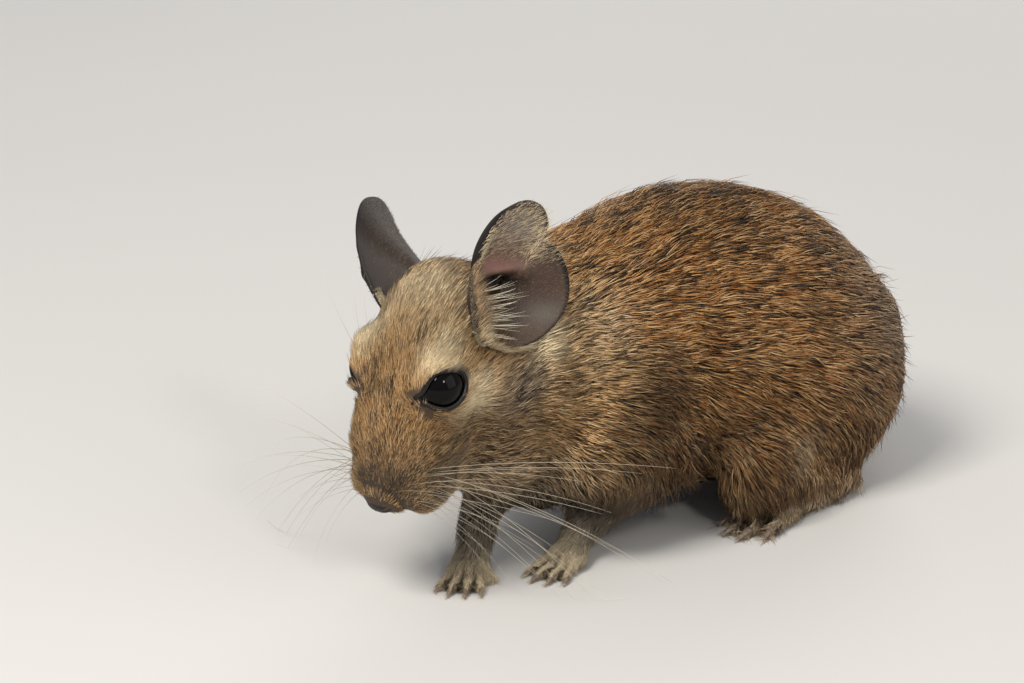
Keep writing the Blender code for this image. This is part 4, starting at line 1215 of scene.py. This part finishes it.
def body_coat(skin, grid, material):
    """The body's long hair in locks.

    A lock's hairs start close together, bend to lie along the coat, and draw towards the lock's own
    line at their tips. A few guard hairs are longer, thinner and stand up more.
    """
    roots, outward, length = drawn_roots(skin, 4, LONG_DRAWS, True, *LONG_SPACING)
    draw = np.random.default_rng(11)
    ahead, aside, tone, markings_and_painted_light = lie_and_tone(roots, outward, draw)
    tone = tone + draw.normal(0, 0.12, len(roots))
    rise = 7 + 3 * waves(roots, 12.0, 31)
    lock = np.repeat(np.arange(len(roots)), LOCK_HAIRS)
    number = len(lock)
    roots, out, fore, side, length = (part[lock] for part in (roots, outward, ahead, aside, length))
    spread = 0.22 + 0.045 * length
    before = draw.uniform(-0.9, 0.9, number) * spread
    beside = draw.uniform(-1.0, 1.0, number) * spread
    hair = length * draw.uniform(0.75, 1.2, number)
    guard = draw.random(number) < GUARD_SHARE
    hair = np.where(guard, hair * 1.3, hair)
    lift = np.radians(rise[lock] + draw.normal(0, 3.0, number) + 4 * guard)
    fore = unit(fore + side * draw.normal(0, 0.06, number)[:, None])
    start = roots + fore * before[:, None] + side * beside[:, None] - out * LONG_SINK
    half = (hair * 0.5)[:, None]
    middle = start + swung(fore, out, lift + 0.17) * half - side * (beside * 0.3)[:, None]
    tip = middle + swung(fore, out, lift - 0.3) * half - side * (beside * 0.4)[:, None]
    least = draw.uniform(0.25, 0.7, number)
    middle = held_to_skin(grid, middle, least + 0.1, 0.13 * hair + least)
    tip = held_to_skin(grid, tip, least, 0.14 * hair + least + 0.8 * guard)
    keep_above(0.3, middle)
    keep_above(0.15, tip)
    width = (0.13 + 0.012 * length) * draw.uniform(0.75, 1.2, number) * np.where(guard, 0.7, 1.0)
    strand, shades = hair_colours(roots, tone[lock], markings_and_painted_light[lock], draw)
    add_hairs("coat", material, [start, middle], tip, out, width, strand, shades)


# Eyes, nose and lids


def eyeballs(material):
    """Each eye is a ball whose front bulges: r = R (1 + 0.03 exp(-(polar angle / 0.6)^2))."""
    polar = np.linspace(0.02, math.pi - 0.02, EYE_RINGS)[:, None]
    around = circle(EYE_SIDES)
    reach = EYE_RADIUS * (1 + 0.03 * hill(polar, 0.6))
    flat = reach * np.sin(polar)
    out = reach * np.cos(polar) + 0 * around
    local = np.stack([np.cos(around) * flat, np.sin(around) * flat, out], axis=-1)
    for sign, side in SIDES.items():
        middle, ways = EYES[sign]
        points = ring_points(middle + local @ ways)
        mesh = closed_mesh("eyeball_" + side, points, ring_corners(EYE_RINGS, EYE_SIDES))
        show("eyeball_" + side, mesh, material, ["eye_" + side])


def lid_edges(material):
    """The dark wet skin of the lids: a flat band along the opening, drawn out at the inner corner.

    The band's middle line is the lids' outline on a ball a little larger than the eye, and its
    section is an ellipse whose long axis leans out of the ball's surface.
    """
    angle = circle(96)
    around = circle(14)[:, None]
    inner = hill(angle - math.pi, 0.3)
    over = (LID_HALF_HEIGHT + 0.3) * np.sin(angle) * lid_pinch(-np.cos(angle)) - 0.35 * inner
    wide = LID_BAND * (1 - 0.5 * inner)[:, None, None]
    thick = LID_THICKNESS * (1 - 0.3 * inner)[:, None, None]
    index = np.arange(angle.size * around.size).reshape(angle.size, around.size)
    after = np.roll(index, -1, axis=0)
    corners = [index, np.roll(index, -1, axis=1), np.roll(after, -1, axis=1), after]
    corners = np.stack(corners, axis=-1).reshape(-1, 4)
    for sign, side in SIDES.items():
        middle, ways = EYES[sign]
        along = (LID_HALF_LENGTH + 0.3) * np.cos(angle) - LID_CORNER[sign] * inner
        out = np.sqrt(np.maximum((EYE_RADIUS + 0.5) ** 2 - along**2 - over**2, 1.2))
        line = np.stack([along, over, out], axis=1)
        ahead = unit(np.roll(line, -1, 0) - np.roll(line, 1, 0))
        away = unit(line)
        aside = unit(np.cross(ahead, away))
        aside, away = aside * 0.86 + away * 0.5, away * 0.86 - aside * 0.5
        section = away[:, None] * np.cos(around) * thick + aside[:, None] * np.sin(around) * wide
        points = (middle + (line[:, None] + section) @ ways).reshape(-1, 3)
        show("lid_edge_" + side, closed_mesh("lid_edge_" + side, points, corners), material)


def nose_pad(material):
    """The bare pad: an oval ball, pressed in at two slanting nostrils and along the cleft.

    A place of the unit ball is moved in by 0.5 N + 0.15 C and out by 0.06 R. N is a bell round each
    nostril's slanting line at the side of the pad, C a bell round the middle line below the
    nostrils, and R a wider bell that makes the nostril's rim.
    """
    polar = np.linspace(0.03, math.pi - 0.03, NOSE_RINGS)[:, None]
    around = circle(NOSE_SIDES)[None]
    x = np.sin(polar) * np.cos(around)
    z = np.sin(polar) * np.sin(around)
    y = -np.cos(polar) + 0 * around
    along = (np.abs(x) - 0.66) * 0.8 + (z - 0.18) * 0.6
    across = (np.abs(x) - 0.66) * -0.6 + (z - 0.18) * 0.8
    nostril = bell(along, across, 0, 0, 0.3, 0.13) * smooth_step(0.35, 0.05, y)
    cleft = hill(x, 0.07) * smooth_step(0.25, -0.25, z) * smooth_step(0.3, 0.0, y)
    reach = 1 - 0.5 * nostril - 0.15 * cleft + 0.06 * bell(along, across, 0, 0, 0.42, 0.27)
    local = np.stack([x, y, z], axis=-1) * reach[..., None] * np.array(NOSE_PAD_RADII)
    points = ring_points(from_head(local + np.array(NOSE_PAD_CENTRE)))
    mesh = closed_mesh("nose_pad", points, ring_corners(NOSE_RINGS, NOSE_SIDES))
    # How far in a nostril each point lies, for the painted shade there
    nostril_shade = np.append(nostril.ravel(), (0.0, 0.0))
    set_attribute(mesh, "nostril_shade", np.stack([nostril_shade, nostril_shade, nostril_shade], axis=1))
    show("nose_pad", mesh, material)


# Ears


def ear_ways(side):
    """An ear's middle in the head's frame, and its ways: rearward across it, up, and out of it."""
    outward, back = EAR_LEANS[side]
    facing = math.radians(EAR_FACING[side])
    lean = turn("Z", HEAD_YAW) @ turn("X", -back) @ turn("Y", outward)
    out = lean @ np.array((math.sin(facing), -math.cos(facing), 0))
    up = lean @ np.array((0, 0, 1.0))
    return np.array(EAR_BASE[side]), np.stack([np.cross(up, out), up, out]) @ HEAD_TURN


def from_ear(side, points):
    """Points of an ear's frame in the scene's frame; the right ear is a left one, mirrored."""
    middle, ways = ear_ways(side)
    return from_head((np.asarray(points, float) @ ways + middle) * EAR_MIRROR[side])


def to_ear(side, points):
    middle, ways = ear_ways(side)
    return (to_head(points) * EAR_MIRROR[side] - middle) @ ways.T


def ear_rim(count):
    """The rim's points at even steps, going round it once."""
    return eased([*EAR_RIM, EAR_RIM[0]], count + 1)[:-1]


def ear_wall(share):
    """The cup's thickness, which grows from the rim towards its floor."""
    return 0.42 + 2.2 * np.clip(1 - share, 0, 1) ** 0.75


def ear_cup(share, rim, folds):
    """The cup's face at shares of the way from its floor to the rim.

    Across and up are share times the rim's. Out is share^2 times the rim's less
    depth (1 - share)^1.6. Folds scales the ridge over the canal, the crease above it, the canal,
    its edge and the rolled front edge.
    """
    share = share[:, None]
    across = rim[None, :, 0] * share
    up = rim[None, :, 1] * share
    out = rim[None, :, 2] * share**2 - EAR_DEPTH * (1 - share) ** 1.6
    ridge = hill(up - 9.9 - 0.1 * across, 1.3) * np.clip(1.15 - np.abs(across - 1) / 7, 0, 1)
    crease = hill(up - 12.8 - 0.2 * across, 1.2) * np.clip(1.1 - np.abs(across - 2) / 9, 0, 1)
    canal_edge = hill(np.hypot(across + 0.5, up - 0.5) - 5.2, 1.2)
    canal_edge *= np.clip(up / 3, 0, 1) * np.clip(0.9 - across / 6, 0, 1)
    canal = bell(across, up, 2.4, 7.0, 3.0, 1.5)
    front = np.clip(-across / 4.0, 0, 1) * hill(share - 0.9, 0.09)
    shape = 1.7 * ridge + 1.0 * canal_edge - 0.6 * crease - 1.9 * canal
    out = out + folds * ((1 - share**6) * shape + 1.0 * front)
    return np.stack([across, up, out], axis=-1)


def ear(side, material):
    """A thin cup with a rounded rim: a folded inner face, a turn over the rim, and a plain back."""
    rim = ear_rim(160)
    shares = np.linspace(EAR_FLOOR_SHARE, 1.0, 56)
    inner = ear_cup(shares, rim, 1.0)
    plain = ear_cup(shares, rim, 0.0)
    along = np.gradient(plain, axis=0)
    around = np.roll(plain, -1, axis=1) - np.roll(plain, 1, axis=1)
    facing = unit(np.cross(along, around))
    facing *= np.sign(facing[..., 2:].mean())
    back = plain - facing * ear_wall(shares)[:, None, None]
    edge = unit(along[-1])
    middle = (inner[-1] + back[-1]) / 2
    half = np.linalg.norm(inner[-1] - back[-1], axis=1, keepdims=True) / 2
    turnover = [
        middle + edge * half * math.sin(angle) + facing[-1] * half * math.cos(angle)
        for angle in np.radians((30, 60, 90, 120, 150))
    ]
    rings = np.concatenate([inner, np.array(turnover), back[::-1]])
    across, up = rings[..., 0], rings[..., 1]
    share = np.concatenate([shares, np.ones(len(turnover)), -shares[::-1]])[:, None] + 0 * across
    inside = smooth_step(-0.2, 0.2, share)
    share = np.abs(share)
    # The dark spots hold painted shade in the canal and the cup's floor
    pink, dark, grey = (
        sum(strength * bell(across, up, *spot) for strength, *spot in rows)
        for rows in EAR_TONES.values()
    )
    front_rim = np.clip(-across / 3.5, 0, 1) * smooth_step(0.6, 0.76, share)
    dark += 0.85 * front_rim + 0.75 * smooth_step(0.93, 0.985, share)
    dark = dark * inside + (0.66 + 0.25 * share) * (1 - inside)
    tones = np.clip(np.stack([pink * inside, dark, grey * inside], axis=-1), 0, 1)
    corners = ring_corners(len(rings), len(rim))
    mesh = closed_mesh("ear_skin_" + side, from_ear(side, ring_points(rings)), corners)
    set_attribute(mesh, "flesh", ring_points(tones))
    show("ear_skin_" + side, mesh, material, ["ear_" + side])


def ear_fringe(side, material):
    """Long pale hairs that leave the ear's front edge and fan back over its opening."""
    draw = np.random.default_rng(17)
    number = FRINGE_HAIRS
    low, middle, high = FRINGED_EDGE
    at = np.linspace(low, high, number) + draw.uniform(-0.4, 0.4, number)
    across = -3.9 + draw.uniform(-0.7, 0.5, number) - 0.12 * at
    root = np.stack([across, at, draw.uniform(0.0, 1.5, number)], axis=1)
    length = draw.uniform(5.5, 12.0, number) * np.interp(at, (low, middle, high), (0.75, 1.0, 0.75))
    rise = -0.05 + 0.05 * at + draw.normal(0, 0.1, number)
    way = unit(np.stack([np.ones(number), rise, 0.32 + draw.normal(0, 0.1, number)], axis=1))
    share = np.linspace(0, 1, 7)[None, :, None]
    bend = np.array((0.0, 0.4, -1.0)) * draw.uniform(0.3, 1.8, (number, 1))
    paths = root[:, None] + way[:, None] * length[:, None, None] * share + bend[:, None] * share**2
    paths = from_ear(side, paths)
    radii = np.linspace(1.0, 0.15, 7)[None] * draw.uniform(0.06, 0.095, (number, 1))
    show_tubes("ear_fringe_" + side, paths, radii, 4, material, hairs=True)


def add_ear_hairs(name, side, material, root, tip, beyond, width, chance_and_tone, markings_and_painted_light):
    """Puts an ear's hairs in the scene, from places of the ear's frame.

    Beyond is a place on the outer side of each root.
    """
    start, tip, facing = (from_ear(side, places) for places in (root, tip, beyond))
    strand = np.stack(chance_and_tone, axis=1)
    markings_and_painted_light = np.clip(np.stack(markings_and_painted_light, axis=1), 0, 1)
    facing = unit(facing - start)
    add_hairs(name + side, material, [start], tip, facing, width, strand, markings_and_painted_light)


def ear_tufts(side, material):
    """The head's hair where it runs up over the ear's front edge and under its lower edge.

    By the front edge of the left ear, which the viewer faces, the hairs cross over the rim.
    """
    draw = np.random.default_rng(19)
    number = TUFT_HAIRS
    at_front = draw.random(number) < 0.5
    front = draw.integers(*TUFTED_RIM[side], number)
    along_rim = np.where(at_front, front, draw.integers(290, 360, number))
    edge = ear_rim(360)[along_rim % 360]
    way_out = unit(edge * (1, 1, 0) - (1.0, 3.0, 0.0))
    below = draw.random(number)[:, None]
    over_rim = ((along_rim > 336) & (side == "left"))[:, None]
    behind = np.where(over_rim, 1.1 * below - 0.7, 0.1 + 1.8 * below)
    root = edge + way_out * (0.3 + 0.45 * below) - np.array((0, 0, 1.0)) * behind
    front = smooth_step(2.0, -3.0, edge[:, 0])[:, None]
    way = front * np.array((0.4, 0.85, 0.32)) + (1 - front) * np.array((0.7, 0.15, 0.6))
    way = unit(way + draw.normal(0, 0.16, (number, 3)))
    length = draw.uniform(2.4, 4.8, number) * np.interp(edge[:, 1], (-5, 2, 9), (0.7, 1.1, 0.7))
    length = length * TUFT_SHARE[side] * np.where(over_rim[:, 0], 1.15, 1.0)
    tip = root + way * length[:, None]
    strand = (draw.random(number), np.clip(draw.normal(0.5, 0.27, number), 0, 1))
    pale = 0.4 * draw.random(number) + 0.4 * smooth_step(1.0, -3.5, edge[:, 1])
    dark = 0.6 * (draw.random(number) < 0.2)
    width = draw.uniform(0.13, 0.22, number)
    markings_and_painted_light = (pale, np.full(number, 0.2), dark)
    add_ear_hairs("ear_tuft_", side, material, root, tip, root + way_out, width, strand, markings_and_painted_light)


def ear_down(side, material):
    """Fine hair on both faces of the ear, lying up and back along it."""
    draw = np.random.default_rng(23)
    number = DOWN_HAIRS
    rows = np.linspace(EAR_FLOOR_SHARE, 1.0, 80)
    faces = np.stack([ear_cup(rows, ear_rim(160), folds) for folds in (1.0, 0.0)])
    share = np.sqrt(draw.uniform(0.05, 0.97, number))
    column = draw.integers(0, 160, number)
    row = (share - EAR_FLOOR_SHARE) / (1 - EAR_FLOOR_SHARE) * (len(rows) - 1)
    row = np.clip(row.astype(int), 0, len(rows) - 2)
    behind = draw.random(number) < DOWN_BEHIND[side]
    face = behind.astype(int)
    root = faces[face, row, column]
    along = faces[face, row + 1, column] - root
    around = faces[face, row, (column + 1) % 160] - root
    out = unit(np.cross(along, around))
    out *= np.sign(out[:, 2:].mean())
    root = np.where(behind[:, None], root - out * ear_wall(share)[:, None], root)
    out = np.where(behind[:, None], -out, out)
    lie = laid_flat(unit(np.array((0.8, 0.6, 0.0)) + draw.normal(0, 0.16, (number, 3))), out)
    upper = smooth_step(9.5, 13.0, root[:, 1])
    length = draw.uniform(0.9, 1.9, number) * np.where(behind, 0.9, 0.55 + 0.75 * upper)
    tip = root + (lie + out * 0.16) * length[:, None]
    tone = np.clip(draw.normal(0.4, 0.15, number), 0, 1)
    width = draw.uniform(0.08, 0.12, number)
    strand = (draw.random(number) * 0.4, tone)
    markings_and_painted_light = (0.55 * upper * ~behind, 0.5 + 0 * upper, np.where(behind, 0.55, 0.35 * (1 - upper)))
    start = root - out * 0.12
    add_ear_hairs("ear_down_", side, material, start, tip, root + out, width, strand, markings_and_painted_light)


# Whiskers


def on_skin(tree, starts, targets):
    """Where lines from starts to targets, both in the head's frame, first meet the skin."""
    found = []
    for start, target in zip(from_head(starts), from_head(targets)):
        hit = tree.ray_cast(Vector(start), Vector(unit(target - start)))[0]
        found.append(np.array(hit) if hit else target)
    return np.array(found)


def whiskers(skin, material):
    """Stiff hairs of the lip and brow: a straight start that droops, p = r + L (s w + s^2 b).

    The lip has five rows of five, which grow longer towards the back, and the brow three hairs.
    """
    points, _, corners, _ = skin
    tree = BVHTree.FromPolygons([Vector(p) for p in points], corners.tolist())
    draw = np.random.default_rng(29)
    share = np.linspace(0, 1, 14)[None, :, None]
    rows, columns = np.divmod(np.arange(WHISKER_ROWS**2), WHISKER_ROWS)
    number = len(rows)
    for sign, side in SIDES.items():
        y = 2.0 + 1.7 * columns + draw.uniform(-0.4, 0.4, number)
        z = 2.6 - 1.5 * rows + 0.2 * columns + draw.uniform(-0.4, 0.4, number)
        starts = np.vstack([np.stack([np.full(number, 22.0), y - 6, z], axis=1), BROW_STARTS])
        targets = np.vstack([np.stack([np.full(number, 3.0), y, z], axis=1), BROW_TARGETS])
        mirror = np.array((sign, 1, 1))
        root = on_skin(tree, starts * mirror, targets * mirror)
        length = 17 + 6.5 * columns + draw.uniform(-4, 5, number) - 1.5 * np.abs(rows - 2)
        length = np.append(length, BROW_LENGTHS)
        sweep = WHISKER_SWEEP[side] + 0.05 * columns
        way = np.stack([np.full(number, 0.8), sweep, 0.16 - 0.17 * rows], axis=1)
        way = np.vstack([unit(way + draw.normal(0, 0.06, (number, 3))), unit(BROW_WAYS)])
        bend = np.stack([np.full(number, -0.05), np.full(number, 0.1), -0.16 - 0.05 * rows], axis=1)
        bend = np.vstack([bend + draw.normal(0, 0.035, (number, 3)), BROW_BENDS])
        way = (way * mirror) @ turn("Z", HEAD_YAW).T
        bend = (bend * mirror) @ turn("Z", HEAD_YAW).T
        paths = share * way[:, None] + share**2 * bend[:, None]
        paths = root[:, None] + length[:, None, None] * paths
        paths[:, 0] -= way * 0.8
        keep_above(0.4, paths)
        thickness = np.clip(length / 34, 0.6, 1.1)[:, None]
        radii = WHISKER_RADIUS * (1 - 0.8 * share[..., 0]) * thickness
        show_tubes("whiskers_" + side, paths, radii, 4, material, hairs=True)


# Claws and tail brush


def claws(material):
    """A curved cone beyond each toe: a shrinking ring carried along a short arc that bends down."""
    share = np.linspace(0, 1, 9)[None, :, None]
    for name, soles, toes, reach, radius in (
        ("fore", FORE_SOLE, FORE_TOES, 2.6, 0.62),
        ("hind", HIND_SOLE, HIND_TOES, 3.9, 0.85),
    ):
        table = np.array(toes, float)
        tip = table[:, 2:]
        ahead = unit(tip - table[:, :2])
        height = radius * 1.5
        start = np.column_stack([tip - ahead * 0.7, np.full(len(tip), height)])
        way = np.column_stack([ahead, np.full(len(tip), 0.12)])
        drop = np.column_stack([ahead * 0, np.full(len(tip), -(height + 0.1 * reach - 0.25))])
        local = start[:, None] + way[:, None] * reach * share + drop[:, None] * share**2
        radii = radius * (1 - share[..., 0] ** 1.6 * 0.93) + np.zeros((len(tip), 1))
        for side, sole in soles.items():
            paths = from_foot(sole, local)
            show_tubes(f"{name}_claws_{side}", paths, radii, 12, material)


def tail_brush(material):
    """The tail's black brush: a thin core, and long hairs all round it that lean to its tip."""
    line = (eased(TAIL_ROUTE, 400) + TRUNK)[int(BRUSH_START * 400) :]
    core = line[np.linspace(0, len(line) - 1, 40).astype(int)][None]
    radii = CORE_RADIUS * np.linspace(1.0, CORE_TAPER, 40)[None]
    show_tubes("tail_core", core, radii, 14, material, ["tail_brush"])

    draw = np.random.default_rng(37)
    number = BRUSH_HAIRS
    share = draw.uniform(0, 0.93, number)
    place = (share * (len(line) - 1)).astype(int)
    ahead = unit(np.gradient(line, axis=0))[place]
    aside = unit(np.cross(ahead, (0.0, 0.0, 1.0)))
    out = swung(aside, np.cross(aside, ahead), draw.uniform(0, 2 * math.pi, number))
    radius = CORE_RADIUS * np.interp(share, (0, 1), (1.0, CORE_TAPER))
    root = line[place] + out * (radius - 0.25)[:, None]
    length = np.interp(share, (0, 0.5, 1), (5.0, 10.0, 11.0)) * draw.uniform(0.7, 1.15, number)
    spread = np.interp(share, (0, 1), (0.24, 0.3)) + draw.normal(0, 0.07, number)
    first = unit(ahead + out * (spread + 0.18)[:, None] + draw.normal(0, 0.05, (number, 3)))
    second = unit(ahead + out * (spread - 0.2)[:, None] + draw.normal(0, 0.06, (number, 3)))
    middle = root + first * (length * 0.45)[:, None]
    tip = middle + second * (length * 0.55)[:, None]
    keep_above(0.25, middle)
    keep_above(0.15, tip)
    mesh = blade_mesh("tail_brush_hair", [root, middle], tip, out, np.full(number, 0.24))
    show("tail_brush_hair", mesh, material)


# Stage


CAMERA_RIGHT = np.array((math.cos(CAMERA_AZIMUTH), math.sin(CAMERA_AZIMUTH), 0.0))
CAMERA_AHEAD = np.array((-CAMERA_RIGHT[1], CAMERA_RIGHT[0], 0.0)) * math.cos(CAMERA_HEIGHT)
CAMERA_BACK = np.array((0.0, 0.0, math.sin(CAMERA_HEIGHT))) - CAMERA_AHEAD
CAMERA_UP = np.cross(CAMERA_BACK, CAMERA_RIGHT)


def stage_and_light():
    """A pale floor, one soft key from above and in front, a small catch light, a fill and a rim."""
    outline = np.array([(-1, -1, 0), (1, -1, 0), (1, 1, 0), (-1, 1, 0)]) * FLOOR_HALF
    mesh = mesh_from_arrays("floor", outline, np.array([(0, 1, 2, 3)]))
    colours = ("#C6C4BF", "#CECCC8")
    mesh.materials.append(grained_material("pale_studio_floor", colours, 3.0, 2.0, Roughness=0.85))
    placed("floor", mesh)

    world = bpy.data.worlds.new("studio")
    bpy.context.scene.world = world
    world.use_nodes = True
    background = world.node_tree.nodes["Background"]
    background.inputs[0].default_value = (0.86, 0.9, 1.0, 1.0)
    background.inputs[1].default_value = 0.42

    target = Vector((0.0, -0.02, 0.035))
    for name, way, distance, size, power in LIGHTS:
        lamp = bpy.data.lights.new(name, "AREA")
        lamp.size = size
        lamp.energy = power
        lamp.color = (1.0, 0.96, 0.9)
        holder = placed(name, lamp)
        toward = Vector(unit(CAMERA_RIGHT * way[0] + CAMERA_UP * way[1] + CAMERA_BACK * way[2]))
        holder.location = target + toward * distance
        holder.rotation_mode = "QUATERNION"
        holder.rotation_quaternion = (-toward).to_track_quat("-Z", "Y")


def camera():
    """Stands where the nose tip falls on its place in the picture, at the picture's scale."""
    scale = CAMERA_LENS / SENSOR_WIDTH * PICTURE[0] / CAMERA_DISTANCE
    right, down = (np.array(NOSE_IN_PICTURE) - np.array(PICTURE) / 2) / scale
    place = NOSE * MM + CAMERA_BACK * CAMERA_DISTANCE - CAMERA_RIGHT * right + CAMERA_UP * down
    lens = bpy.data.cameras.new("camera")
    lens.lens = CAMERA_LENS
    lens.sensor_width = SENSOR_WIDTH
    lens.clip_start = 0.05
    holder = placed("camera", lens)
    ways = Matrix(np.stack([CAMERA_RIGHT, CAMERA_UP, CAMERA_BACK], axis=1).tolist()).to_4x4()
    holder.matrix_world = Matrix.Translation(place.tolist()) @ ways
    bpy.context.scene.camera = holder
    bpy.context.scene.view_settings.view_transform = "Standard"


def make_animal():
    coat = coat_material()
    skin = make_skin(skin_material())
    grid = skin_grid(*skin[:2])
    short_coat(skin, grid, coat)
    body_coat(skin, grid, coat)
    # A dark wet eye: near-black brown with a clear polish, which gives one sharp highlight
    wet = {"Roughness": 0.05, "IOR": 1.38, "Specular_IOR_Level": 0.22}
    eyeballs(grained_material("wet_black_eye", ("#030303", "#0D0806"), 700.0, 2.0, **wet))
    # Wet dark skin along the edge of the lids
    moist = {"bump": (0.5, 0.0001), "Roughness": 0.38, "Specular_IOR_Level": 0.3}
    lid_edges(grained_material("dark_lid_edge", ("#0B0807", "#1D1714"), 2500.0, 3.0, **moist))
    nose_pad(nose_material())
    ear_skin = ear_material()
    fringe = hair_material("pale_ear_fringe", "#C9B894", "#FAF1DA")
    for side in SIDES.values():
        ear(side, ear_skin)
        ear_fringe(side, fringe)
        ear_tufts(side, coat)
        ear_down(side, coat)
    whiskers(skin, hair_material("pale_whisker", "#8C7D66", "#E6DCC6"))
    # Horn: brown keratin, smooth along the claw
    horn = {"Roughness": 0.35, "IOR": 1.55}
    claws(grained_material("claw_horn", ("#3A2C22", "#8B7A68"), 1500.0, 2.0, **horn))
    tail_brush(hair_material("black_brush_hair", "#17110D", "#0B0806"))


make_animal()
camera()
stage_and_light()
